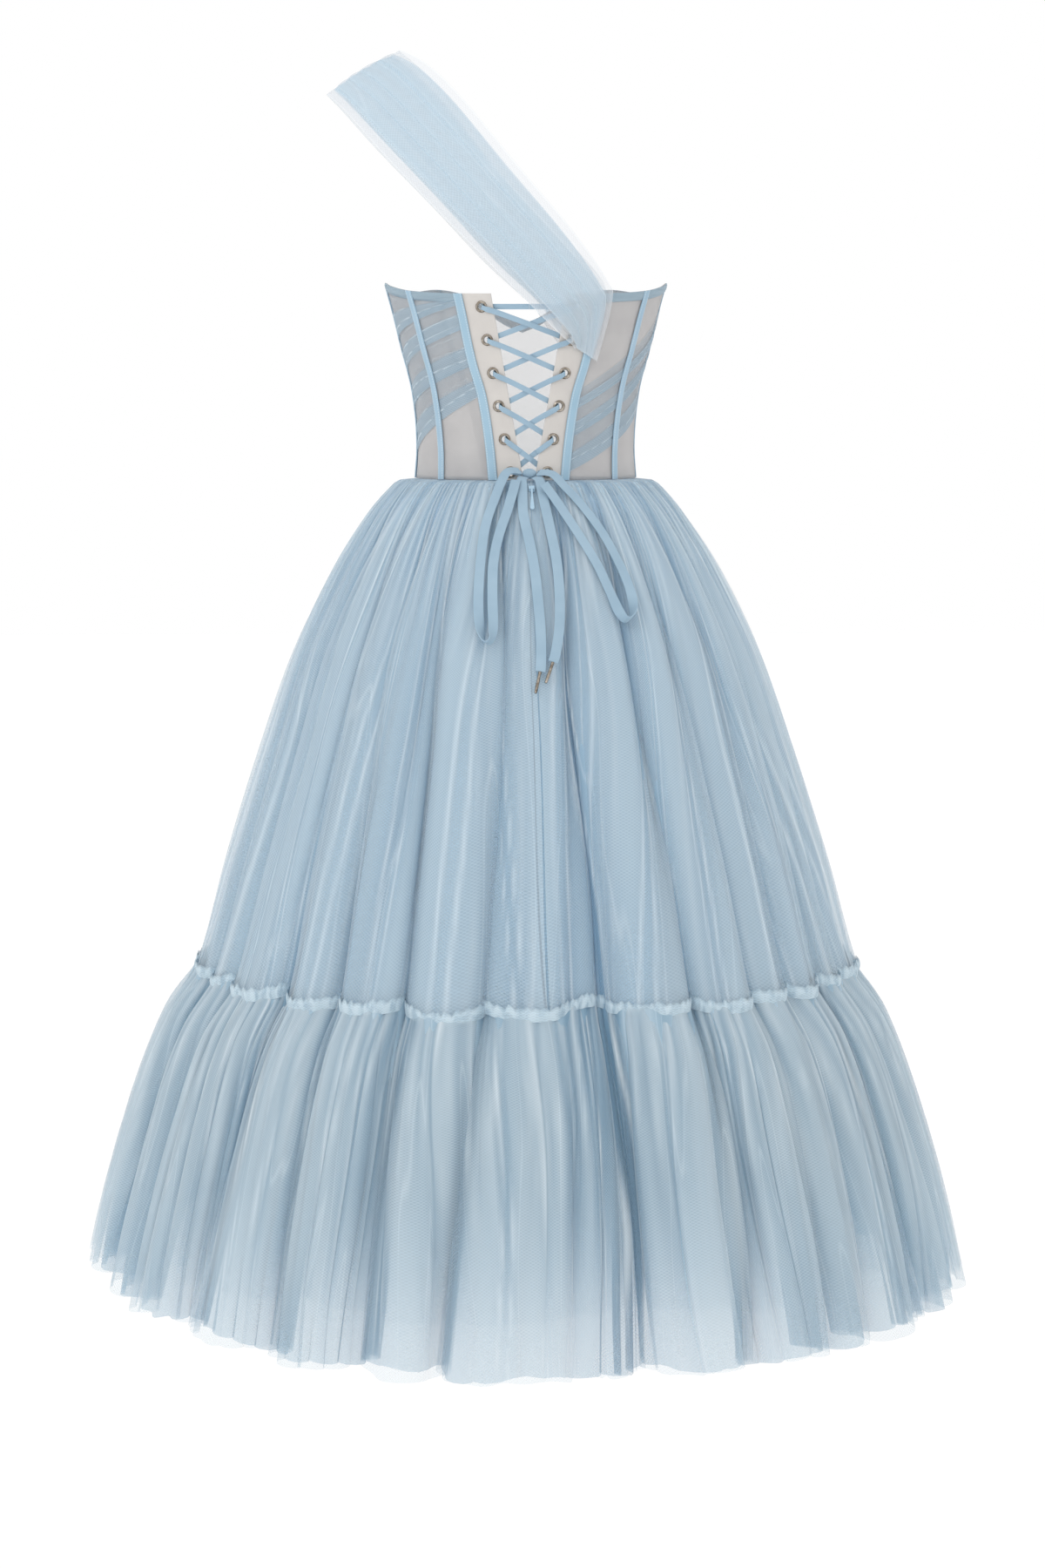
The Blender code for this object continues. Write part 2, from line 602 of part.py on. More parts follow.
def build_flounce():
    """The gathered flounce, with seams at the sides, and the seam band over its join."""
    top = SEAM_HEIGHT - SEAM_GAP / 2
    rows = heights_as_shares(top, HEM_HEIGHT, (top, BAND_BOTTOM, -0.570, -0.690, HEM_HEIGHT))
    seam = 0.0015
    quarter = FOLDS / 4
    for label, first, last in (("back", -quarter + seam, quarter - seam),
                               ("front", quarter + seam, 3 * quarter - seam)):
        columns = fold_columns(first, last)
        wall(f"flounce_{label}", "tulle", hanging(skirt_point, top, HEM_HEIGHT), columns, rows,
             (-SKIRT_CLOTH, 0.0))
        wall(f"seam_band_{label}", "tulle", hanging(skirt_point, BAND_TOP, BAND_BOTTOM), columns, [0, 1],
             BAND_FACES)


def build_underskirt():
    """The under layer of tulle, which ends above the hem."""
    rows = heights_as_shares(UNDERSKIRT_TOP, UNDERSKIRT_HEM,
                             (UNDERSKIRT_TOP, -0.070, -0.160, -0.300, SEAM_HEIGHT, UNDERSKIRT_HEM))
    place = hanging(underskirt_point, UNDERSKIRT_TOP, UNDERSKIRT_HEM)
    seam = 0.004
    quarter = FOLDS / 4
    for label, first, last in (("back", -quarter + seam, quarter - seam),
                               ("front", quarter + seam, 3 * quarter - seam)):
        wall(f"underskirt_{label}", "tulle", place, steps(first, last, 15), rows, (-SKIRT_CLOTH, 0.0))


# The strap -----------------------------------------------------------------

def smooth(points, where):
    """Point at a fractional index on a smooth curve through the points."""
    first = min(int(where), len(points) - 2)
    share = where - first
    before, after = points[max(first - 1, 0)], points[min(first + 2, len(points) - 1)]
    start, end = points[first], points[first + 1]
    leave, arrive = (end - before) / 2, (after - start) / 2
    return (start * (2 * share ** 3 - 3 * share ** 2 + 1) + leave * (share ** 3 - 2 * share ** 2 + share)
            + end * (3 * share ** 2 - 2 * share ** 3) + arrive * (share ** 3 - share ** 2))


def strap_lines():
    """The strap's lines from end to end, from its outer edge to its inner one."""
    rows = []
    for station in STRAP:
        outer, inner = Vector(station.outer), Vector(station.inner)
        row = []
        for share in STRAP_COLUMNS:
            flat = outer.lerp(inner, share)
            away = (flat - TORSO_MIDDLE).normalized()
            row.append(flat + away * station.crown * 4 * share * (1 - share))
        rows.append(row)
    for landing in STRAP_FRONT:
        row = []
        for share in STRAP_COLUMNS:
            turn = landing.outer_turn + share * (landing.inner_turn - landing.outer_turn)
            height = landing.outer_height + share * (landing.inner_height - landing.outer_height)
            row.append(bodice_point(math.radians(turn), height, landing.lift))
        rows.append(row)
    return list(zip(*rows))


def build_strap():
    """The gathered strap, one band from the back placket over the shoulder to the right cup."""
    lines = strap_lines()
    last_line, last_row = len(lines) - 1, len(lines[0]) - 1

    def place(line, where, out):
        step = 0.02
        across = (smooth(lines[min(line + 1, last_line)], where)
                  - smooth(lines[max(line - 1, 0)], where))
        forward = (smooth(lines[line], min(where + step, last_row))
                   - smooth(lines[line], max(where - step, 0.0)))
        normal = across.cross(forward).normalized()
        point = smooth(lines[line], where)
        if normal.dot(point - TORSO_MIDDLE) < 0:
            normal = -normal
        return point + normal * out

    wall("strap", "tulle", place, range(len(lines)), steps(0, last_row, 2 * last_row),
         (0.0, STRAP_CLOTH))


# The lace ------------------------------------------------------------------

def tape_along(name, material, points, sides, widths, thickness):
    """A flat tape through points; sides are the directions of its width."""
    count = len(points)
    normals = []
    for i in range(count):
        forward = points[min(i + 1, count - 1)] - points[max(i - 1, 0)]
        across = (sides[i] - forward * (sides[i].dot(forward) / forward.length_squared)).normalized()
        sides[i] = across
        normals.append(across.cross(forward).normalized())

    def place(share, index, out):
        return points[index] + sides[index] * share * widths[index] / 2 + normals[index] * out

    return wall(name, material, place, [-1, 1], range(count), (-thickness / 2, thickness / 2))


def lacing_points(start):
    """Route of one half of the lacing, from the bar at the top to the knot.

    Each row gives the place, the direction of the tape's width and its width.
    """
    route = []
    top = eyelet_frame(start, 0)
    under, over = -CLOTH - 2.4 * MM, PLACKET_PROUD + 2.4 * MM
    bar_height = top.translation.z

    def flat_side(direction, outward):
        return outward.cross(direction).normalized()

    def on_surface(side, height, out):
        return bodice_point(bodice_turn(side, height), height, out)

    middle = on_surface(start * SEAM_GAP / 2, bar_height, -1.0 * MM)
    edge = on_surface(start * 0.030, bar_height, -2.4 * MM)
    upright = Vector((0, 0, 1))
    route.append((middle, upright, LACING_WIDTH))
    route.append((edge, upright, LACING_WIDTH))
    arrive_from = edge
    for row in range(EYELETS_PER_SIDE):
        side = start * (-1) ** row
        frame = eyelet_frame(side, row)
        centre, outward = frame.translation, frame.col[2].to_3d()
        if row < EYELETS_PER_SIDE - 1:
            target = eyelet_frame(-side, row + 1).translation
        else:
            target = KNOT_CENTRE
        for_in, for_out = arrive_from - centre, target - centre
        came = (for_in - outward * for_in.dot(outward)).normalized()
        goes = (for_out - outward * for_out.dot(outward)).normalized()
        through = (came + goes).normalized()
        width_in, width_out = flat_side(came, outward) * -1, flat_side(goes, outward) * -1
        width_mid = flat_side(through, outward) * -1
        if width_in.dot(width_mid) < 0:
            width_in = -width_in
        route.append((centre + came * 6.8 * MM + outward * under, width_in, LACING_WIDTH))
        route.append((centre + came * 3.8 * MM + outward * under, width_in, LACE_IN_EYELET))
        route.append((centre + came * 1.2 * MM + outward * (under + 0.6 * MM), width_mid, LACE_IN_EYELET))
        route.append((centre + through * 0.4 * MM + outward * (under + 2.3 * MM), width_mid, LACE_IN_EYELET))
        route.append((centre + through * 0.4 * MM + outward * 0.4 * MM, width_mid, LACE_IN_EYELET))
        route.append((centre + goes * 1.2 * MM + outward * (over - 0.6 * MM), width_mid, LACE_IN_EYELET))
        route.append((centre + goes * 3.8 * MM + outward * over, width_out, LACE_IN_EYELET))
        route.append((centre + goes * 6.8 * MM + outward * over, width_out, LACING_WIDTH))
        if row < EYELETS_PER_SIDE - 1:
            # Down across the gap: the strand from the left passes on top
            heading = target - centre
            arrive_from = centre + heading * 0.5
            levels = STRAND_OVER if side < 0 else STRAND_UNDER
            span = abs(heading.x)
            stops = (STRAND_LEAVES, span / 2 - STRAND_HOLD, span / 2, span / 2 + STRAND_HOLD,
                     span - STRAND_DIVES)
            for stop, out in zip(stops, levels):
                spot = centre + heading * (stop / span)
                place = on_surface(spot.x, spot.z, out)
                route.append((place, flat_side(heading, outward) * -1, LACING_WIDTH))
        else:
            rest = KNOT_CENTRE + Vector((side * (KNOT_SIZE.x / 2 + 0.9 * MM), 0.0, 0.0))
            route.append((rest, Vector((0, 0, 1)), LACING_WIDTH))
    return route


def build_lacing():
    """The lace through the eyelets, in two halves that meet at the top bar."""
    for label, side in SIDES.items():
        route = lacing_points(side)
        sides = [row[1] for row in route]
        for i in range(1, len(sides)):
            if sides[i].dot(sides[i - 1]) < 0:
                sides[i] = -sides[i]
        tape_along(f"lacing_{label}", "lace", [row[0] for row in route], sides,
                   [row[2] for row in route], LACE_THICKNESS)


def bow_strand(name, passes):
    """One free strand of the bow, laid over the skirt; gives its last point and heading."""
    points = [on_skirt(one.side, one.height, one.lift) for one in passes]
    rolls = [math.radians(one.roll) for one in passes]
    places, sides = [], []
    for i in range(2 * len(points) - 1):
        where = i / 2
        place = smooth(points, where)
        low, high = max(where - 0.1, 0.0), min(where + 0.1, len(points) - 1.0)
        forward = (smooth(points, high) - smooth(points, low)).normalized()
        outward = (ring_normal(place) - forward * ring_normal(place).dot(forward)).normalized()
        first = min(int(where), len(rolls) - 2)
        roll = rolls[first] + (where - first) * (rolls[first + 1] - rolls[first])
        flat = forward.cross(outward)
        places.append(place)
        sides.append(flat * math.cos(roll) + outward * math.sin(roll))
    tape_along(name, "lace", places, sides, [BOW_WIDTH] * len(places), LACE_THICKNESS)
    return places[-1], (places[-1] - places[-2]).normalized()


def ring_normal(place):
    """Direction out of the skirt at a place."""
    height = min(place.z, -0.012)
    turn = math.atan2(place.x, -place.y)
    round_step = ring_point(turn + 0.02, height, 0.0) - ring_point(turn - 0.02, height, 0.0)
    up_step = ring_point(turn, height + 0.004, 0.0) - ring_point(turn, height - 0.004, 0.0)
    return round_step.cross(up_step).normalized()


def build_bow():
    """The knot, two loops, and two tails that end in aglets."""
    bpy.ops.mesh.primitive_uv_sphere_add(segments=12, ring_count=8, radius=0.5)
    knot = bpy.context.object
    knot.data.transform(Matrix.Translation(KNOT_CENTRE) @ Matrix.Diagonal(KNOT_SIZE.to_4d()))
    settle(knot, "knot", "lace")
    bow_strand("bow_loop_left", LEFT_LOOP)
    bow_strand("bow_loop_right", RIGHT_LOOP)
    for label, passes in (("left", LEFT_TAIL), ("right", RIGHT_TAIL)):
        end, heading = bow_strand(f"tail_{label}", passes)
        centre = end + heading * (AGLET_LENGTH / 2 + 0.3 * MM)
        turned = heading.to_track_quat("Z", "Y").to_matrix().to_4x4()
        bpy.ops.mesh.primitive_cone_add(vertices=12, radius1=AGLET_RADIUS, radius2=AGLET_RADIUS * 0.8,
                                        depth=AGLET_LENGTH)
        aglet = bpy.context.object
        aglet.data.transform(Matrix.Translation(centre) @ turned)
        settle(aglet, f"aglet_{label}", "metal")


def settle(piece, name, material):
    """Name a primitive, give it its material and move it to the dress's collection."""
    piece.name = name
    piece.data.name = name
    piece.data.materials.append(MATERIALS[material])
    for collection in list(piece.users_collection):
        collection.objects.unlink(piece)
    DRESS.objects.link(piece)
    piece.parent = HOLDER


# The zip -------------------------------------------------------------------

def zip_frame():
    """Frame on the centre back seam: X to the side, Y up the cloth, Z out of it."""
    up = on_skirt(ZIP_SIDE, ZIP_HEIGHT + 0.0035, 0.0)
    down = on_skirt(ZIP_SIDE, ZIP_HEIGHT - 0.0225, 0.0)
    y_axis = (up - down)
    y_axis.x = 0.0
    y_axis.normalize()
    x_axis = Vector((1, 0, 0))
    frame = Matrix((x_axis, y_axis, x_axis.cross(y_axis))).transposed().to_4x4()
    frame.translation = on_skirt(ZIP_SIDE, ZIP_HEIGHT, SLIDER_LIFT)
    return frame


def box(name, size, centre, frame):
    """A box in the zip's frame, for joining to another piece."""
    bpy.ops.mesh.primitive_cube_add(size=1.0)
    piece = bpy.context.object
    piece.data.transform(Matrix.Translation(centre) @ Matrix.Diagonal(Vector(size).to_4d()))
    piece.matrix_world = frame
    piece.name = name
    return piece


def rod(name, radius, length, centre, frame):
    """A rod along X in the zip's frame, for joining to another piece."""
    bpy.ops.mesh.primitive_cylinder_add(vertices=12, radius=radius, depth=length)
    piece = bpy.context.object
    piece.data.transform(Matrix.Translation(centre) @ Matrix.Rotation(math.pi / 2, 4, "Y"))
    piece.matrix_world = frame
    piece.name = name
    return piece


def combine(piece, other, operation):
    """Boolean between a piece and a guide, which goes to the cutters."""
    for collection in list(other.users_collection):
        collection.objects.unlink(other)
    CUTTERS.objects.link(other)
    other.hide_render = True
    other.display_type = "WIRE"
    join = piece.modifiers.new(other.name, "BOOLEAN")
    join.operation = operation
    join.object = other


def build_zip():
    """The concealed zip's slider with a bar between two ears, and the pull tab on it."""
    frame = zip_frame()
    bar = Vector((0.0, -SLIDER_SIZE.y * 0.25, SLIDER_SIZE.z + BAR_RISE))
    slider = box("zip_slider", SLIDER_SIZE, (0, 0, SLIDER_SIZE.z / 2), frame)
    ear_side = EYE_WIDTH / 2 + 0.3 * MM
    ear_width = 0.9 * MM
    for label, side in SIDES.items():
        ear = box(f"ear_{label}", (ear_width, 2.0 * MM, BAR_RISE + 1.4 * MM),
                  (side * (ear_side + ear_width / 2), bar.y, bar.z - BAR_RISE / 2 + 0.1 * MM), frame)
        combine(slider, ear, "UNION")
    combine(slider, rod("bar", BAR_RADIUS, 2 * ear_side + ear_width, bar, frame), "UNION")
    settle(slider, "zip_slider", "zip_paint")
    slider.parent = None

    hinge = frame @ Matrix.Translation(bar) @ Matrix.Rotation(TAB_LEAN, 4, "X")
    tab = rod("zip_pull", EYE_RADIUS, EYE_WIDTH, (0, 0, 0), hinge)
    blade = tab_blade(hinge)
    combine(tab, blade, "UNION")
    combine(tab, rod("eye_bore", EYE_BORE, EYE_WIDTH * 2, (0, 0, 0), hinge), "DIFFERENCE")
    settle(tab, "zip_pull", "zip_paint")
    tab.parent = None


def tab_blade(frame):
    """The pull tab's blade: a teardrop outline in the plane of the cloth."""
    length, half = TAB_LENGTH, TAB_WIDTH / 2
    neck = 0.9 * MM
    curve = bpy.data.curves.new("tab_blade", "CURVE")
    curve.dimensions = "2D"
    curve.fill_mode = "BOTH"
    curve.extrude = TAB_THICKNESS / 2
    outline = [(-neck, -EYE_BORE - 0.15 * MM), (-neck, -length * 0.3)]
    for i in range(7):
        angle = math.pi + math.pi * i / 6
        outline.append((half * math.cos(angle), -(length - half) + half * math.sin(angle)))
    outline += [(neck, -length * 0.3), (neck, -EYE_BORE - 0.15 * MM)]
    spline = curve.splines.new("POLY")
    spline.points.add(len(outline) - 1)
    for point, (side, up) in zip(spline.points, outline):
        point.co = (side, up, 0.0, 1.0)
    spline.use_cyclic_u = True
    flat = bpy.data.objects.new("tab_outline", curve)
    CUTTERS.objects.link(flat)
    bpy.context.view_layer.update()
    mesh = bpy.data.meshes.new_from_object(flat.evaluated_get(bpy.context.evaluated_depsgraph_get()))
    bpy.data.objects.remove(flat)
    weld = bmesh.new()
    weld.from_mesh(mesh)
    bmesh.ops.remove_doubles(weld, verts=weld.verts, dist=0.01 * MM)
    bmesh.ops.recalc_face_normals(weld, faces=weld.faces)
    weld.to_mesh(mesh)
    weld.free()
    blade = bpy.data.objects.new("tab_blade", mesh)
    blade.matrix_world = frame
    CUTTERS.objects.link(blade)
    return blade


clear_scene()
DRESS = bpy.data.collections.new("cocktail_dress")
CUTTERS = bpy.data.collections.new("cutters")
for group in (DRESS, CUTTERS):
    bpy.context.scene.collection.children.link(group)
HOLDER = bpy.data.objects.new("waist_origin", None)
DRESS.objects.link(HOLDER)
MATERIALS = make_materials()

build_panels()
build_plackets()
build_eyelets()
build_tapes()
build_bindings()
build_drapes()
build_skirt()
build_flounce()
build_underskirt()
build_strap()
build_lacing()
build_bow()
build_zip()
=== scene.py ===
"""Looks of the one-shoulder tulle cocktail dress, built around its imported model.

Metres, +Z up, the origin at the centre of the waist seam.  The laced back faces
-Y and the wearer's right side +X.  Angles round the body are turns from the
centre back, positive towards +X.  A point of the skirt is counted in folds
round the ring, whole numbers being the crests of its folds.
"""

import bisect
import json
import logging
import math
from contextlib import contextmanager
from dataclasses import dataclass, field
from enum import Enum
from typing import Callable, ClassVar, Iterator, Sequence

import bmesh
import bpy
from mathutils import Matrix, Vector, noise
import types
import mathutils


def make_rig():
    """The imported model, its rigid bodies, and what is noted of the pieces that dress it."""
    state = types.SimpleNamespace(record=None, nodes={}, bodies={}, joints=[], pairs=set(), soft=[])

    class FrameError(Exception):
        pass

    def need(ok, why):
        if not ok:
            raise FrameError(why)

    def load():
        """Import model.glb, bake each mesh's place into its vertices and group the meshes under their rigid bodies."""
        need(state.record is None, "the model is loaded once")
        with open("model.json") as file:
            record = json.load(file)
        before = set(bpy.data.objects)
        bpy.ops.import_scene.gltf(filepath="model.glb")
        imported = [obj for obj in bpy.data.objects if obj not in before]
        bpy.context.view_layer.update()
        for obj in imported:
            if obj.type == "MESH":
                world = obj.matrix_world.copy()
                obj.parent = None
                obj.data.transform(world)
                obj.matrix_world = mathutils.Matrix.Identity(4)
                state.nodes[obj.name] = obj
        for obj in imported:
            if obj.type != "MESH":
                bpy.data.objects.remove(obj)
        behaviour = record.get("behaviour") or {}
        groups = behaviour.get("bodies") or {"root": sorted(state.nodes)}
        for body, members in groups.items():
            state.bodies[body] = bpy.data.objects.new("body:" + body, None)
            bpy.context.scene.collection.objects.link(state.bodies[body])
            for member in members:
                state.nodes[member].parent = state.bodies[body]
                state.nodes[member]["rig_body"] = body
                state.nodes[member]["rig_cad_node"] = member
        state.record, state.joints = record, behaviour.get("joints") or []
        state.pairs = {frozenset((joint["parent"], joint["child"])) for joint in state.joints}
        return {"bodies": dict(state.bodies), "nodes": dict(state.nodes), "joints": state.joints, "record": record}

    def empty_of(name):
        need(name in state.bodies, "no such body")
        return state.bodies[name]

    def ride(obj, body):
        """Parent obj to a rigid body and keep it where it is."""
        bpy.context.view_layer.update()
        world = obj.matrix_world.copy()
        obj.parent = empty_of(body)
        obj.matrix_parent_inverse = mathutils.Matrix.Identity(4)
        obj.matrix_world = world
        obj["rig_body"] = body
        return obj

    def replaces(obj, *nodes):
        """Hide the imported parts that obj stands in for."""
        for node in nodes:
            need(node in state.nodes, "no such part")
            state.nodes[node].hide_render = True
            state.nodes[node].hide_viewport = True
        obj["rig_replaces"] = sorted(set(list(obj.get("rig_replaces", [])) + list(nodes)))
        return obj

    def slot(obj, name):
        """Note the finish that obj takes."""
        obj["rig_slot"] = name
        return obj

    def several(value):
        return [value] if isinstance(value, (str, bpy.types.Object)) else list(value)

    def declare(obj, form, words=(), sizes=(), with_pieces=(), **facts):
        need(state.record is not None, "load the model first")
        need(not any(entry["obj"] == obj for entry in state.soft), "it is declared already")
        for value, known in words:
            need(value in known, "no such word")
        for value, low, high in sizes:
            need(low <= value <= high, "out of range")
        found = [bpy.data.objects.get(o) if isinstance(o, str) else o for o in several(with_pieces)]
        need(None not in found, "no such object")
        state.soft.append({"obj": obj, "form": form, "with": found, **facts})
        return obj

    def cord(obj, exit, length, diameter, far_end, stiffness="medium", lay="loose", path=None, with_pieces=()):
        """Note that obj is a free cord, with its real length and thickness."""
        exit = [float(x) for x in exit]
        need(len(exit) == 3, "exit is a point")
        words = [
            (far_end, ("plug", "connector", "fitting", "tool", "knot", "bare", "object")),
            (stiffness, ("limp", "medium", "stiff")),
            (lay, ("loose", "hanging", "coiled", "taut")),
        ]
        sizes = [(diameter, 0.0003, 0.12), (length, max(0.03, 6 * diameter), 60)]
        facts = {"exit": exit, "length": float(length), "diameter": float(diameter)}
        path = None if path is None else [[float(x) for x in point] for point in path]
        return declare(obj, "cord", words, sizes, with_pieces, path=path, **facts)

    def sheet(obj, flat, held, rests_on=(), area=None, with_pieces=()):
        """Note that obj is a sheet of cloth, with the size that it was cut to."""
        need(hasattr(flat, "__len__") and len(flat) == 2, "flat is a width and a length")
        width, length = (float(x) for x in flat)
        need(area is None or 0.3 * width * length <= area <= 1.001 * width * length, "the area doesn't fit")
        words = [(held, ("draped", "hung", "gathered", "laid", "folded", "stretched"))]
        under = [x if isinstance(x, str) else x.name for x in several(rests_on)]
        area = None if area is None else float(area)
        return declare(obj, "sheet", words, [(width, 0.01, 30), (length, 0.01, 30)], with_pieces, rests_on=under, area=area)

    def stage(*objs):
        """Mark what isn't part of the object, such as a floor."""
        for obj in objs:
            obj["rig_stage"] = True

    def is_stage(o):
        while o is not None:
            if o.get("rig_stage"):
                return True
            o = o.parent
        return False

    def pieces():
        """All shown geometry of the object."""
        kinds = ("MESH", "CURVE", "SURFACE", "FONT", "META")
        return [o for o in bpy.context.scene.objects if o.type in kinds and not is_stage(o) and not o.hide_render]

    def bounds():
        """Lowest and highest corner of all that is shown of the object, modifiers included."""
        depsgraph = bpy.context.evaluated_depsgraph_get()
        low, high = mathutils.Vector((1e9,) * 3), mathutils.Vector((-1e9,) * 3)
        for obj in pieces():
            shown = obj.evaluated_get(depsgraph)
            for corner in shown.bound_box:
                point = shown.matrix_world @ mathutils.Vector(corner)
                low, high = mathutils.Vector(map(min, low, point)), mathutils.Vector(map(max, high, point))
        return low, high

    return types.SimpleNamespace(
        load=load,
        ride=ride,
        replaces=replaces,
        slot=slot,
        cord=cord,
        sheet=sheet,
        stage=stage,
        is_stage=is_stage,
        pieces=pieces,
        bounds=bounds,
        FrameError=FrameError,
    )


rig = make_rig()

LOG = logging.getLogger("dress")
MM = 0.001
TURN = 2 * math.pi
DRESS_BODY = "dress"
SIZE_FILE = "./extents.json"

# Vertex colour attribute: painted fold shading in red, painted highlight lines in green, the cloth's cover in blue.
FOLD_SHADE_AND_COVER = "fold"
SEAM = -0.506
HEM = -0.838

Pair = tuple[float, float]
Triple = tuple[float, float, float]
Colour = Triple
Line = Callable[[float], float]
Place = Callable[[float, float], Vector]
Tone = Callable[[float, float], Triple]
Piece = bpy.types.Object
Material = bpy.types.Material
Socket = bpy.types.NodeSocket
Tree = bpy.types.NodeTree


class Side(Enum):
    """The two sides of the dress, with the sign of X on each."""

    LEFT = -1
    RIGHT = 1

    @property
    def label(self) -> str:
        """The side's name in lower case."""
        return self.name.lower()


class Slot(Enum):
    """Material slots of the record that the new pieces use."""

    TULLE = "tulle"
    MESH = "mesh"
    PLACKET = "placket"
    TAPE = "tape"
    LACE = "lace"
    METAL = "metal"


# Curves and surfaces of the dress


class Curve:
    """A smooth curve through rows of key and value."""

    def __init__(self, *rows: Pair) -> None:
        """Sort the rows and find the slope at each.

        Args:
            rows: Pairs of key and value.
        """
        ordered = sorted(rows)
        self.keys = [row[0] for row in ordered]
        self.values = [row[1] for row in ordered]
        last = len(ordered) - 1
        self.slopes = []
        for i in range(len(ordered)):
            low, high = max(i - 1, 0), min(i + 1, last)
            run = self.keys[high] - self.keys[low]
            self.slopes.append((self.values[high] - self.values[low]) / run)

    def at(self, where: float) -> float:
        """Value of the curve.

        Args:
            where: The key, held at the ends outside the rows.

        Returns:
            The value there.
        """
        if where <= self.keys[0]:
            return self.values[0]
        if where >= self.keys[-1]:
            return self.values[-1]
        last = bisect.bisect_left(self.keys, where)
        first = last - 1
        span = self.keys[last] - self.keys[first]
        share = (where - self.keys[first]) / span
        rise = self.values[last] - self.values[first]
        start, end = self.slopes[first] * span, self.slopes[last] * span
        bend = start * (1 - share) - end * share + (2 * share - 1) * rise
        return self.values[first] + rise * share + bend * share * (1 - share)


def smooth(points: Sequence[Vector], where: float) -> Vector:
    """Point on a smooth curve through points.

    Args:
        points: The points in order.
        where: A fractional index into them.

    Returns:
        The point there.
    """
    first = min(int(where), len(points) - 2)
    share = where - first
    before = points[max(first - 1, 0)]
    after = points[min(first + 2, len(points) - 1)]
    start, end = points[first], points[first + 1]
    leave, arrive = (end - before) / 2, (after - start) / 2
    cube, square = share**3, share**2
    return (
        start * (2 * cube - 3 * square + 1)
        + leave * (cube - 2 * square + share)
        + end * (3 * square - 2 * cube)
        + arrive * (cube - square)
    )


def ease(low: float, high: float, value: float) -> float:
    """Smooth step from 0 at low to 1 at high.

    Args:
        low: Where the step starts.
        high: Where it ends, below low for a falling step.
        value: The place on it.

    Returns:
        The share from 0 to 1.
    """
    share = min(1.0, max(0.0, (value - low) / (high - low)))
    return share * share * (3 - 2 * share)


def bell(value: float, middle: float, width: float) -> float:
    """Bell curve that is 1 at its middle."""
    return math.exp(-((value - middle) / width) ** 2)


def stir(*spot: float) -> float:
    """Smooth noise from about -0.5 to 0.5 at a spot of three numbers."""
    return noise.noise(Vector(spot))


@dataclass(frozen=True)
class Unevenness:
    """Smooth unevenness that closes on itself round the body.

    The paces say how fast it changes up the height and round the body.
    """

    size: float
    up_pace: float
    round_pace: float
    seed: float

    def at(self, turn: float, height: float = 0.0, seed: float = 0.0) -> float:
        """Value at a place.

        Args:
            turn: Angle round the body.
            height: Height on the dress.
            seed: Chooses a layer's own pattern.

        Returns:
            The value, from about minus the size to the size.
        """
        spot = (math.cos(turn) * self.round_pace, math.sin(turn) * self.round_pace)
        return self.size * 2.0 * stir(*spot, height * self.up_pace + seed + self.seed)


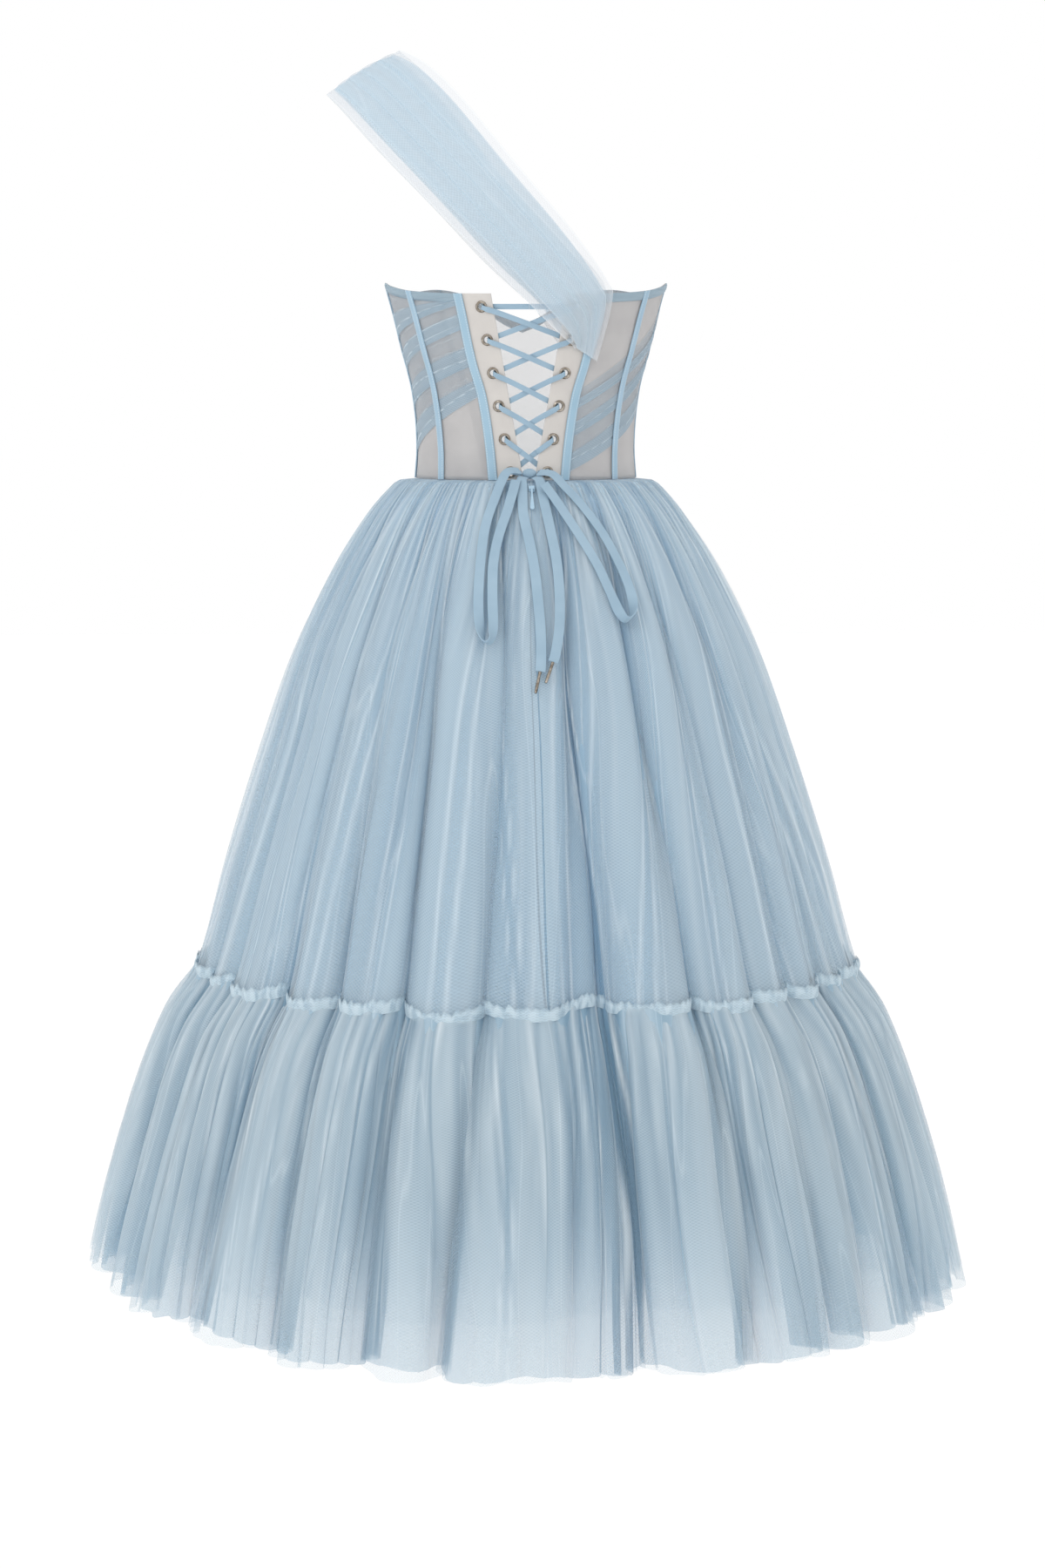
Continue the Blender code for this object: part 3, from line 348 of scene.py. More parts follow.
@dataclass(frozen=True)
class BodiceForm:
    """The bodice's surface, seams and edges."""

    half_width: Curve = Curve(
        (0.0, 0.1128), (0.03, 0.1108), (0.065, 0.1125), (0.097, 0.1173),
        (0.132, 0.1266), (0.165, 0.1345), (0.2, 0.144))
    back_depth: Curve = Curve(
        (0.0, 0.088), (0.03, 0.0868), (0.065, 0.0872), (0.097, 0.0892),
        (0.132, 0.0922), (0.165, 0.095), (0.2, 0.098))
    front_depth: Curve = Curve(
        (0.0, 0.089), (0.03, 0.0905), (0.065, 0.0945), (0.097, 0.1),
        (0.132, 0.105), (0.165, 0.107), (0.2, 0.106))
    back_seam: Curve = Curve((0.0, 18.5), (0.083, 23.8), (0.117, 27.2), (0.19, 30.6))
    side_back_seam: Curve = Curve((0.0, 50.5), (0.054, 52.8), (0.11, 54.8), (0.19, 58.0))
    side_seam: Curve = Curve((0.0, 99.0), (0.2, 98.0))
    cup_seam: Curve = Curve((0.0, 160.0), (0.08, 151.0), (0.15, 143.0), (0.2, 142.0))
    top: Curve = Curve(
        (0, 0.187), (34, 0.1875), (58, 0.1905), (76, 0.1955), (89, 0.199), (104, 0.195),
        (122, 0.19), (143, 0.1935), (160, 0.184), (172, 0.166), (180, 0.158))
    usual_height: float = 0.19
    gap_at_waist: float = 0.0055
    gap_at_top: float = 0.0385
    gap_top_height: float = 0.187
    cup_rise: float = 0.017
    cup_turn: float = math.radians(143)
    cup_height: float = 0.150
    cup_spread: float = math.radians(24)
    cup_tall: float = 0.042

    def point(self, turn: float, height: float, out: float = 0.0) -> Vector:
        """Point on the bodice.

        Args:
            turn: Angle from the centre back.
            height: Height over the waist.
            out: Distance out from the cloth.

        Returns:
            The point.
        """
        width = self.half_width.at(height) + out
        if math.cos(turn) > 0:
            depth = self.back_depth.at(height) + out
        else:
            from_back = abs(math.remainder(turn, TURN))
            across = (from_back - self.cup_turn) / self.cup_spread
            up = (height - self.cup_height) / self.cup_tall
            cup = math.exp(-across * across - up * up)
            depth = self.front_depth.at(height) + out
            depth += self.cup_rise * cup * min(1.0, -3 * math.cos(turn))
        return Vector((width * math.sin(turn), -depth * math.cos(turn), height))

    def turn_at(self, side: float, height: float) -> float:
        """Turn of a point of the back that lies a distance to the side."""
        return math.asin(side / self.half_width.at(height))

    def top_edge(self, turn: float) -> float:
        """Height of the top edge at a turn."""
        return self.top.at(abs(math.degrees(math.remainder(turn, TURN))))

    def half_gap(self, height: float) -> float:
        """Half of the lacing gap at a height."""
        return self.gap_at_waist + (self.gap_at_top - self.gap_at_waist) * height / self.gap_top_height

    def placket_edge(self, side: Side) -> Line:
        """Turn of the placket's inner edge as a function of height."""
        return lambda height: self.turn_at(side.value * self.half_gap(height), height)

    def seam(self, curve: Curve, side: Side, shift: float = 0.0) -> Line:
        """Turn of a seam as a function of height.

        Args:
            curve: The seam's turn in degrees by height.
            side: Which side of the body.
            shift: Distance the line is moved round towards +X.

        Returns:
            A function that gives the turn at a height.
        """
        def turn(height: float) -> float:
            angle = side.value * math.radians(curve.at(height))
            pace = math.hypot(self.half_width.at(height) * math.cos(angle),
                              self.back_depth.at(height) * math.sin(angle))
            return angle + shift / pace
        return turn

    def between(self, first: Line, last: Line, bottom: Line = lambda _turn: 0.0) -> Place:
        """Place function of a piece between two lines of the bodice.

        Args:
            first: Turn of its first edge by height.
            last: Turn of its last edge by height.
            bottom: Height of its lower edge by turn.

        Returns:
            A function of the share round and the share up to the top edge. It
            gives a place as turn and height in the first two coordinates.
        """
        def place(share: float, rise: float) -> Vector:
            usual = rise * self.usual_height
            middle = (first(usual) + last(usual)) / 2
            height = bottom(middle) + rise * (self.top_edge(middle) - bottom(middle))
            turn = first(height) + share * (last(height) - first(height))
            height = bottom(turn) + rise * (self.top_edge(turn) - bottom(turn))
            return Vector((turn, height, 0.0))
        return place


@dataclass(frozen=True)
class SkirtForm:
    """The skirt's outline and the places round it."""

    folds: int = 26
    seam_height: float = SEAM
    hem_height: float = HEM
    oval: float = 0.0248
    oval_fade: float = 0.15
    wander: float = math.radians(3.2)
    radius: Curve = Curve(
        (-0.0003, 0.115), (-0.0013, 0.1285), (-0.01, 0.1415), (-0.037, 0.1657),
        (-0.091, 0.2009), (-0.17, 0.2395), (-0.279, 0.2778), (-0.39, 0.3135),
        (SEAM, 0.348), (-0.55, 0.3735), (-0.631, 0.4035), (-0.74, 0.4362),
        (HEM, 0.459))
    hem_lift: Curve = Curve((-180, 0.012), (-90, 0.030), (0, 0.0), (90, 0.012), (180, 0.012))

    def turn_of(self, fold: float) -> float:
        """Turn of a place counted in folds; the folds are uneven."""
        even = TURN * fold / self.folds
        uneven = math.sin(3 * even) + 0.6 * math.sin(5 * even) + 0.4 * math.sin(8 * even)
        return even + self.wander * uneven

    def ring(self, turn: float, height: float, out: float = 0.0) -> Vector:
        """Point on the outline that the crests touch, moved out by a distance."""
        radius = self.radius.at(height) + out
        depth = radius - self.oval * math.exp(height / self.oval_fade)
        return Vector((radius * math.sin(turn), -depth * math.cos(turn), height))

    def over(self, side: float, height: float, lift: float) -> Vector:
        """Point over the back of the skirt, lifted off the crests."""
        return self.ring(math.asin(side / self.radius.at(height)), height, lift)

    def normal_at(self, place: Vector) -> Vector:
        """Direction out of the skirt near a place."""
        height = min(place.z, -0.012)
        turn = math.atan2(place.x, -place.y)
        round_step = self.ring(turn + 0.02, height) - self.ring(turn - 0.02, height)
        up_step = self.ring(turn, height + 0.004) - self.ring(turn, height - 0.004)
        return round_step.cross(up_step).normalized()

    def hem_at(self, turn: float) -> float:
        """Height of the hem at a turn."""
        degrees = (math.degrees(turn) + 180) % 360 - 180
        return self.hem_height + self.hem_lift.at(degrees)


# Modelling helpers


def deselect_all() -> None:
    """Deselect every object and leave none active."""
    for piece in bpy.context.selected_objects:
        piece.select_set(False)
    bpy.context.view_layer.objects.active = None


def select_only(piece: Piece) -> None:
    """Select one piece and make it active."""
    deselect_all()
    piece.select_set(True)
    bpy.context.view_layer.objects.active = piece


@contextmanager
def editing(piece: Piece) -> Iterator[bmesh.types.BMesh]:
    """Open a piece's mesh for changes and write it back after them."""
    edit = bmesh.new()
    edit.from_mesh(piece.data)
    yield edit
    edit.to_mesh(piece.data)
    edit.free()


def clear_file() -> None:
    """Remove what a new file holds."""
    for thing in list(bpy.data.objects):
        bpy.data.objects.remove(thing)


def take_new(name: str) -> Piece:
    """Name the primitive just added.

    Args:
        name: The piece's name.

    Returns:
        The new piece.
    """
    piece = bpy.context.object
    piece.name = name
    piece.data.name = name
    return piece


def add_object(name: str, data: bpy.types.ID) -> Piece:
    """Put a new object that shows some data into the scene."""
    piece = bpy.data.objects.new(name, data)
    bpy.context.collection.objects.link(piece)
    return piece


def plain_tone(_share: float, _rise: float) -> Triple:
    """Painted shading of cloth without folds: half light, no painted highlight lines, full cover."""
    return (0.5, 0.0, 1.0)


def cloth(name: str, columns: int, rows: int, place: Place, cut: Pair,
          tone: Tone = plain_tone) -> Piece:
    """A sheet of cloth: a grid whose vertices are moved onto a surface.

    Args:
        name: The piece's name.
        columns: Number of faces across.
        rows: Number of faces along.
        place: Gives the point at a share across and a share along.
        cut: Width and length in metres that its UV map spans.
        tone: Gives the painted fold shading, the painted highlight line on a fold's
        edge and how full the cloth is at a share across and a share along.

    Returns:
        The sheet, with a UV map in metres, and its painted shading, painted highlight lines and cover as an attribute.
    """
    deselect_all()
    bpy.ops.mesh.primitive_grid_add(x_subdivisions=columns, y_subdivisions=rows, size=2, calc_uvs=True)
    piece = take_new(name)
    mesh = piece.data
    shares = []
    for vertex in mesh.vertices:
        share = round((vertex.co.x + 1) / 2 * columns) / columns
        rise = round((vertex.co.y + 1) / 2 * rows) / rows
        shares.append((share, rise))
        vertex.co = place(share, rise)
    layer = mesh.uv_layers.active
    flat = []
    for loop in mesh.loops:
        share, rise = shares[loop.vertex_index]
        flat += (share * cut[0], rise * cut[1])
    layer.uv.foreach_set("vector", flat)
    # Store the painted fold shading, painted highlight lines and cover per vertex.
    painted_shading = mesh.color_attributes.new(name=FOLD_SHADE_AND_COVER, type="FLOAT_COLOR", domain="POINT")
    painted_shading.data.foreach_set("color", [value for where in shares for value in (*tone(*where), 1.0)])
    bpy.ops.object.shade_smooth()
    mesh.update()
    return piece


def face_out(piece: Piece, middle: Vector) -> None:
    """Turn a sheet's faces so that most look away from a point.

    Args:
        piece: The sheet.
        middle: The point inside.
    """
    outward = sum((face.center - middle).dot(face.normal) * face.area for face in piece.data.polygons)
    if outward < 0:
        with editing(piece) as edit:
            bmesh.ops.reverse_faces(edit, faces=edit.faces)


def apply_modifier(piece: Piece, kind: str, **settings: object) -> None:
    """Add a modifier to a piece and apply it.

    Args:
        piece: The piece.
        kind: Blender's modifier type.
        settings: Values set on the modifier.
    """
    select_only(piece)
    bpy.ops.object.modifier_add(type=kind)
    modifier = piece.modifiers[-1]
    for key, value in settings.items():
        setattr(modifier, key, value)
    bpy.ops.object.modifier_apply(modifier=modifier.name)


def thicken(piece: Piece, thickness: float, offset: float = -1.0, bevel: float = 0.0) -> None:
    """Give a sheet its thickness, with rounded edges where asked.

    Args:
        piece: The sheet.
        thickness: Its thickness.
        offset: Where the sheet lies in it, 1 outside to -1 inside.
        bevel: Width of the rounded edge.
    """
    apply_modifier(piece, "SOLIDIFY", thickness=thickness, offset=offset, use_rim=True)
    if bevel:
        apply_modifier(piece, "BEVEL", width=bevel, segments=2, limit_method="ANGLE",
                       angle_limit=math.radians(50))


def carry(piece: Piece, slot: Slot, material: Material, *nodes: str) -> None:
    """Dress a piece, put it on the dress and let it stand for its CAD nodes.

    Args:
        piece: The piece.
        slot: The record's material slot.
        material: Its material.
        nodes: CAD nodes that it replaces.
    """
    piece.data.materials.clear()
    piece.data.materials.append(material)
    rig.ride(piece, DRESS_BODY)
    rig.slot(piece, slot.value)
    if nodes:
        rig.replaces(piece, *nodes)
    LOG.info("%s: %d faces", piece.name, len(piece.data.polygons))


# Node groups


class Group:
    """A shader node group under construction."""

    def __init__(self, name: str, inputs: dict[str, float | None], outputs: dict[str, str]) -> None:
        """Make the group's sockets.

        Args:
            name: The group's name.
            inputs: Input names with default values, None for a vector.
            outputs: Output names with socket types.
        """
        self.tree = bpy.data.node_groups.new(name, "ShaderNodeTree")
        for label, default in inputs.items():
            kind = "NodeSocketVector" if default is None else "NodeSocketFloat"
            socket = self.tree.interface.new_socket(name=label, in_out="INPUT", socket_type=kind)
            if default is not None:
                socket.default_value = default
        for label, kind in outputs.items():
            self.tree.interface.new_socket(name=label, in_out="OUTPUT", socket_type=kind)
        self.entry = self.tree.nodes.new("NodeGroupInput")
        self.exit = self.tree.nodes.new("NodeGroupOutput")

    def node(self, kind: str, **settings: object) -> bpy.types.Node:
        """Add a node with its settings."""
        made = self.tree.nodes.new(kind)
        for key, value in settings.items():
            setattr(made, key, value)
        return made

    def wire(self, source: Socket, target: Socket) -> None:
        """Link two sockets."""
        self.tree.links.new(source, target)

    def math(self, operation: str, *values: object) -> Socket:
        """A Math node on sockets and numbers.

        Args:
            operation: Blender's operation name.
            values: Up to three sockets or numbers.

        Returns:
            The node's output.
        """
        made = self.node("ShaderNodeMath", operation=operation)
        for socket, value in zip(made.inputs, values):
            if isinstance(value, Socket):
                self.wire(value, socket)
            else:
                socket.default_value = value
        return made.outputs[0]

    def ramp(self, value: Socket, low: float, high: float, to_low: float,
             to_high: float) -> Socket:
        """A clamped Map Range node.

        Args:
            value: The socket to map.
            low: Its low end.
            high: Its high end.
            to_low: What the low end becomes.
            to_high: What the high end becomes.

        Returns:
            The node's output.
        """
        made = self.node("ShaderNodeMapRange", clamp=True)
        self.wire(value, made.inputs["Value"])
        for label, number in (("From Min", low), ("From Max", high), ("To Min", to_low), ("To Max", to_high)):
            made.inputs[label].default_value = number
        return made.outputs["Result"]

    def split(self, vector: Socket) -> tuple[Socket, Socket]:
        """The first two coordinates of a vector."""
        parts = self.node("ShaderNodeSeparateXYZ")
        self.wire(vector, parts.inputs[0])
        return parts.outputs[0], parts.outputs[1]

    def scaled(self, source: Socket, across: object, along: object) -> Socket:
        """A vector with its first two coordinates multiplied.

        Args:
            source: The vector.
            across: Factor of X, a socket or number.
            along: Factor of Y, a socket or number.

        Returns:
            The scaled vector, with Z at 0.
        """
        first, second = self.split(source)
        joined = self.node("ShaderNodeCombineXYZ")
        self.wire(self.math("MULTIPLY", first, across), joined.inputs[0])
        self.wire(self.math("MULTIPLY", second, along), joined.inputs[1])
        return joined.outputs[0]


class ClothPatterns:
    """The patterns that more than one cloth uses, each built once."""

    def __init__(self) -> None:
        """Build every group."""
        self.net = self.make_net()
        self.streaks = self.make_streaks()
        self.weave = self.make_weave()
        self.stitches = self.make_stitches()
        self.mottle = self.make_mottle()

    @staticmethod
    def make_net() -> Tree:
        """Tulle's net of small cells.

        Returns:
            The group, with the output Threads, from 0 to 1.
        """
        group = Group("net_of_tulle", {"Vector": None, "Cells": 420.0}, {"Threads": "NodeSocketFloat"})
        entry = group.entry.outputs
        across, along = group.split(entry["Vector"])
        waves = []
        for operation in ("ADD", "SUBTRACT"):
            slant = group.math(operation, across, along)
            turns = group.math("MULTIPLY", group.math("MULTIPLY", slant, entry["Cells"]), math.pi)
            waves.append(group.math("ABSOLUTE", group.math("SINE", turns)))
        holes = group.math("MULTIPLY", *waves)
        threads = group.ramp(holes, 0.02, 0.5, 1.0, 0.0)
        group.wire(threads, group.exit.inputs["Threads"])
        return group.tree

    @staticmethod
    def make_streaks() -> Tree:
        """Painted light and shade of lengthwise creases of gathered cloth.

        Returns:
            The group, with two outputs: the painted crease shade, from 0 to 1, and
            the painted highlight lines along the sharp creases.
        """
        group = Group("gather_streaks", {"Vector": None, "Across": 60.0, "Along": 2.0},
                      {"Streak": "NodeSocketFloat", "Line": "NodeSocketFloat"})
        entry = group.entry.outputs
        cloud = group.node("ShaderNodeTexNoise", noise_dimensions="2D")
        group.wire(group.scaled(entry["Vector"], entry["Across"], entry["Along"]), cloud.inputs["Vector"])
        cloud.inputs["Scale"].default_value = 1.0
        cloud.inputs["Detail"].default_value = 2.0
        group.wire(group.ramp(cloud.outputs[0], 0.32, 0.68, 0.0, 1.0), group.exit.inputs["Streak"])
        near = group.math("ABSOLUTE", group.math("SUBTRACT", cloud.outputs[0], 0.5))
        group.wire(group.ramp(near, 0.0, 0.009, 1.0, 0.0), group.exit.inputs["Line"])
        return group.tree

    @staticmethod
    def make_weave() -> Tree:
        """Plain weave of two crossing thread systems.

        Returns:
            The group, with the output Height.
        """
        group = Group("plain_weave", {"Vector": None, "Warp": 1200.0, "Weft": 1200.0},
                      {"Height": "NodeSocketFloat"})
        entry = group.entry.outputs
        across, along = group.split(entry["Vector"])
        waves = []
        for output, rate in ((across, entry["Warp"]), (along, entry["Weft"])):
            turns = group.math("MULTIPLY", group.math("MULTIPLY", output, rate), TURN)
            waves.append(group.math("SINE", turns))
        crossed = group.math("MULTIPLY", *waves)
        group.wire(group.ramp(crossed, -1.0, 1.0, 0.0, 1.0), group.exit.inputs["Height"])
        return group.tree

    @staticmethod
    def make_stitches() -> Tree:
        """Two rows of stitches along the edges of a tape.

        Returns:
            The group, with the output Stitch.
        """
        group = Group("edge_stitches", {"Vector": None, "Width": 0.0095, "Inset": 0.0014, "Pitch": 0.0026},
                      {"Stitch": "NodeSocketFloat"})
        entry = group.entry.outputs
        across, along = group.split(entry["Vector"])
        half = group.math("MULTIPLY", entry["Width"], 0.5)
        from_middle = group.math("ABSOLUTE", group.math("SUBTRACT", across, half))
        row_at = group.math("SUBTRACT", half, entry["Inset"])
        row = group.math("ABSOLUTE", group.math("SUBTRACT", from_middle, row_at))
        line = group.ramp(row, 0.0002, 0.0005, 1.0, 0.0)
        dash = group.math("FRACT", group.math("DIVIDE", along, entry["Pitch"]))
        on = group.ramp(group.math("ABSOLUTE", group.math("SUBTRACT", dash, 0.5)), 0.28, 0.36, 1.0, 0.0)
        group.wire(group.math("MULTIPLY", line, on), group.exit.inputs["Stitch"])
        return group.tree

    @staticmethod
    def make_mottle() -> Tree:
        """Slow unevenness of dye and cloth.

        Returns:
            The group, with the output Share, from 0 to 1.
        """
        group = Group("dye_mottle", {"Vector": None, "Scale": 9.0}, {"Share": "NodeSocketFloat"})
        cloud = group.node("ShaderNodeTexNoise")
        group.wire(group.entry.outputs["Vector"], cloud.inputs["Vector"])
        group.wire(group.entry.outputs["Scale"], cloud.inputs["Scale"])
        cloud.inputs["Detail"].default_value = 3.0
        group.wire(group.ramp(cloud.outputs[0], 0.3, 0.7, 0.0, 1.0), group.exit.inputs["Share"])
        return group.tree


# Finishes


class Shade(Group):
    """A material under construction around one Principled shader."""

    def __init__(self, name: str) -> None:
        """Start the material.

        Args:
            name: The material's name.
        """
        self.material = bpy.data.materials.new(name)
        self.material.use_nodes = True
        self.tree = self.material.node_tree
        self.shader = self.tree.nodes["Principled BSDF"]
        coordinates = self.node("ShaderNodeTexCoord")
        self.flat = coordinates.outputs["UV"]
        self.solid = coordinates.outputs["Object"]

    def put(self, label: str, value: object) -> None:
        """Set a value on the shader's own socket."""
        self.shader.inputs[label].default_value = value

    def feel(self, roughness: float, sheen: float = 0.0) -> None:
        """Set the shader's roughness and the weight of its sheen."""
        self.put("Roughness", roughness)
        self.put("Sheen Weight", sheen)
        self.put("Sheen Roughness", 0.5)

    def use(self, tree: Tree, vector: Socket, **values: float) -> bpy.types.Node:
        """Place a node group.

        Args:
            tree: The group.
            vector: What feeds its Vector.
            values: Values of its other inputs.

        Returns:
            The group's node.
        """
        made = self.node("ShaderNodeGroup", node_tree=tree)
        self.wire(vector, made.inputs["Vector"])
        for label, value in values.items():
            made.inputs[label].default_value = value
        return made

    def blend(self, share: Socket, first: object, second: object) -> Socket:
        """Mix two colours.

        Args:
            share: How much of the second.
            first: A colour or a socket.
            second: A colour or a socket.

        Returns:
            The mixed colour.
        """
        made = self.node("ShaderNodeMix", data_type="RGBA")
        self.wire(share, made.inputs["Factor"])
        for socket, value in ((made.inputs[6], first), (made.inputs[7], second)):
            if isinstance(value, Socket):
                self.wire(value, socket)
            else:
                socket.default_value = (*value, 1.0)
        return made.outputs[2]

    def paint(self, colour: Socket) -> None:
        """Feed the base colour."""
        self.wire(colour, self.shader.inputs["Base Color"])

    def raise_by(self, height: Socket, strength: float, distance: float) -> None:
        """Feed the normal through a Bump node.

        Args:
            height: The height from 0 to 1.
            strength: The bump's strength.
            distance: What a height of 1 stands for, in metres.
        """
        bump = self.node("ShaderNodeBump")
        bump.inputs["Strength"].default_value = strength
        bump.inputs["Distance"].default_value = distance
        self.wire(height, bump.inputs["Height"])
        self.wire(bump.outputs["Normal"], self.shader.inputs["Normal"])


@dataclass(frozen=True)
class Finish:
    """One material of the dress."""

    name: str

    def make(self, patterns: ClothPatterns) -> Material:
        """Build the material.

        Args:
            patterns: The shared patterns.

        Returns:
            The material.
        """
        shade = Shade(self.name)
        self.dress(shade, patterns)
        return shade.material

    def dress(self, shade: Shade, patterns: ClothPatterns) -> None:
        """Wire the shader, each kind of finish in its own way."""
        raise NotImplementedError


@dataclass(frozen=True)
class TulleFinish(Finish):
    """Sheer net with painted shading: lighter on the crests of its folds, darker in their recesses, with painted
    highlight lines along their edges.
    """

    # light is the crests' colour and deep the painted shade of the recesses.
    light: Colour
    deep: Colour
    cover_low: float
    cover_high: float
    across: float = 26.0
    along: float = 1.2
    cells: float = 380.0
    # edge is the painted highlight colour of fold edges and crease lines.
    edge: Colour = (0.74, 0.80, 0.84)
    edge_share: float = 0.75
    edge_cover: float = 0.35
    line_share: float = 0.22
    streak_share: float = 0.30
    weave_share: float = 0.10

    def dress(self, shade: Shade, patterns: ClothPatterns) -> None:
        """Wire the shader."""
        shade.feel(0.9, 0.15)
        # Painted fold shading, painted highlight lines and cover, read from the vertex attribute.
        folds = shade.node("ShaderNodeAttribute", attribute_name=FOLD_SHADE_AND_COVER)
        parts = shade.node("ShaderNodeSeparateColor")
        shade.wire(folds.outputs["Color"], parts.inputs[0])
        crest, rim_highlight, full = parts.outputs
        streaks = shade.use(patterns.streaks, shade.flat, Across=self.across, Along=self.along)
        net = shade.use(patterns.net, shade.flat, Cells=self.cells)
        crease_shade = shade.math("SUBTRACT", streaks.outputs["Streak"], 0.5)
        threads = shade.math("SUBTRACT", net.outputs["Threads"], 0.4)
        tone = shade.math("MULTIPLY_ADD", crease_shade, self.streak_share, crest)
        tone = shade.math("MULTIPLY_ADD", threads, self.weave_share, tone)
        tone = shade.ramp(tone, 0.0, 1.0, 0.0, 1.0)
        edge = shade.math("MULTIPLY_ADD", streaks.outputs["Line"], self.line_share,
                          shade.math("MULTIPLY", rim_highlight, self.edge_share))
        # Painted shade: the recess colour where the tone is low, the crest colour where it is high, then the painted
        # highlight colour on fold edges and crease lines.
        colour = shade.blend(tone, self.deep, self.light)
        shade.paint(shade.blend(shade.ramp(edge, 0.0, 1.0, 0.0, 1.0), colour, self.edge))
        # The cover follows the painted shading and grows on the painted highlight lines.
        cover = shade.ramp(tone, 0.0, 1.0, self.cover_low, self.cover_high)
        cover = shade.math("MULTIPLY_ADD", edge, self.edge_cover, cover)
        cover = shade.math("MULTIPLY", cover, shade.ramp(net.outputs["Threads"], 0.0, 1.0, 0.9, 1.1))
        cover = shade.math("MULTIPLY", cover, full)
        shade.wire(shade.ramp(cover, 0.0, 1.0, 0.0, 1.0), shade.shader.inputs["Alpha"])
        shade.raise_by(net.outputs["Threads"], 0.25, 0.3 * MM)


@dataclass(frozen=True)
class MeshFinish(Finish):
    """Semi-sheer corset mesh of the bodice's panels."""

    light: Colour
    deep: Colour
    cover: float

    def dress(self, shade: Shade, patterns: ClothPatterns) -> None:
        """Wire the shader."""
        shade.feel(0.75, 0.2)
        net = shade.use(patterns.net, shade.flat, Cells=600.0)
        weave = shade.use(patterns.weave, shade.flat, Warp=520.0, Weft=520.0)
        mottle = shade.use(patterns.mottle, shade.solid, Scale=24.0)
        colour = shade.blend(mottle.outputs["Share"], self.deep, self.light)
        shade.paint(colour)
        threads = shade.ramp(net.outputs["Threads"], 0.0, 1.0, self.cover * 0.92, self.cover * 1.05)
        shade.wire(threads, shade.shader.inputs["Alpha"])
        height = shade.math("ADD", weave.outputs["Height"], mottle.outputs["Share"])
        shade.raise_by(height, 0.3, 0.25 * MM)


@dataclass(frozen=True)
class WovenFinish(Finish):
    """Close woven cloth: satin placket, boning tape or lacing tape."""

    light: Colour
    deep: Colour
    warp: float
    weft: float
    roughness: float
    sheen: float
    stitch_width: float = 0.0
    stitch_colour: Colour = (0.70, 0.80, 0.86)

    def dress(self, shade: Shade, patterns: ClothPatterns) -> None:
        """Wire the shader."""
        shade.feel(self.roughness, self.sheen)
        weave = shade.use(patterns.weave, shade.flat, Warp=self.warp, Weft=self.weft)
        mottle = shade.use(patterns.mottle, shade.solid, Scale=40.0)
        tone = shade.math("ADD", shade.math("MULTIPLY", weave.outputs["Height"], 0.45),
                          shade.math("MULTIPLY", mottle.outputs["Share"], 0.55))
        colour = shade.blend(tone, self.deep, self.light)
        height = shade.math("MULTIPLY", weave.outputs["Height"], 0.6)
        if self.stitch_width:
            stitches = shade.use(patterns.stitches, shade.flat, Width=self.stitch_width)
            stitch = stitches.outputs["Stitch"]
            colour = shade.blend(stitch, colour, self.stitch_colour)
            height = shade.math("ADD", height, stitch)
        shade.paint(colour)
        shade.raise_by(height, 0.5, 0.25 * MM)


@dataclass(frozen=True)
class MetalFinish(Finish):
    """Polished metal with fine handling marks."""

    colour: Colour
    worn: Colour
    roughness: float

    def dress(self, shade: Shade, patterns: ClothPatterns) -> None:
        """Wire the shader."""
        shade.feel(self.roughness)
        shade.put("Metallic", 1.0)
        mottle = shade.use(patterns.mottle, shade.solid, Scale=260.0)
        shade.paint(shade.blend(mottle.outputs["Share"], self.colour, self.worn))
        rough = shade.ramp(mottle.outputs["Share"], 0.0, 1.0, self.roughness * 0.7, self.roughness * 1.5)
        shade.wire(rough, shade.shader.inputs["Roughness"])


@dataclass(frozen=True)
class PaintFinish(Finish):
    """Gloss paint on the zip's slider and pull tab."""

    colour: Colour
    worn: Colour

    def dress(self, shade: Shade, patterns: ClothPatterns) -> None:
        """Wire the shader."""
        shade.feel(0.28)
        shade.put("Coat Weight", 0.5)
        mottle = shade.use(patterns.mottle, shade.solid, Scale=320.0)
        shade.paint(shade.blend(mottle.outputs["Share"], self.colour, self.worn))
        shade.raise_by(mottle.outputs["Share"], 0.08, 0.1 * MM)


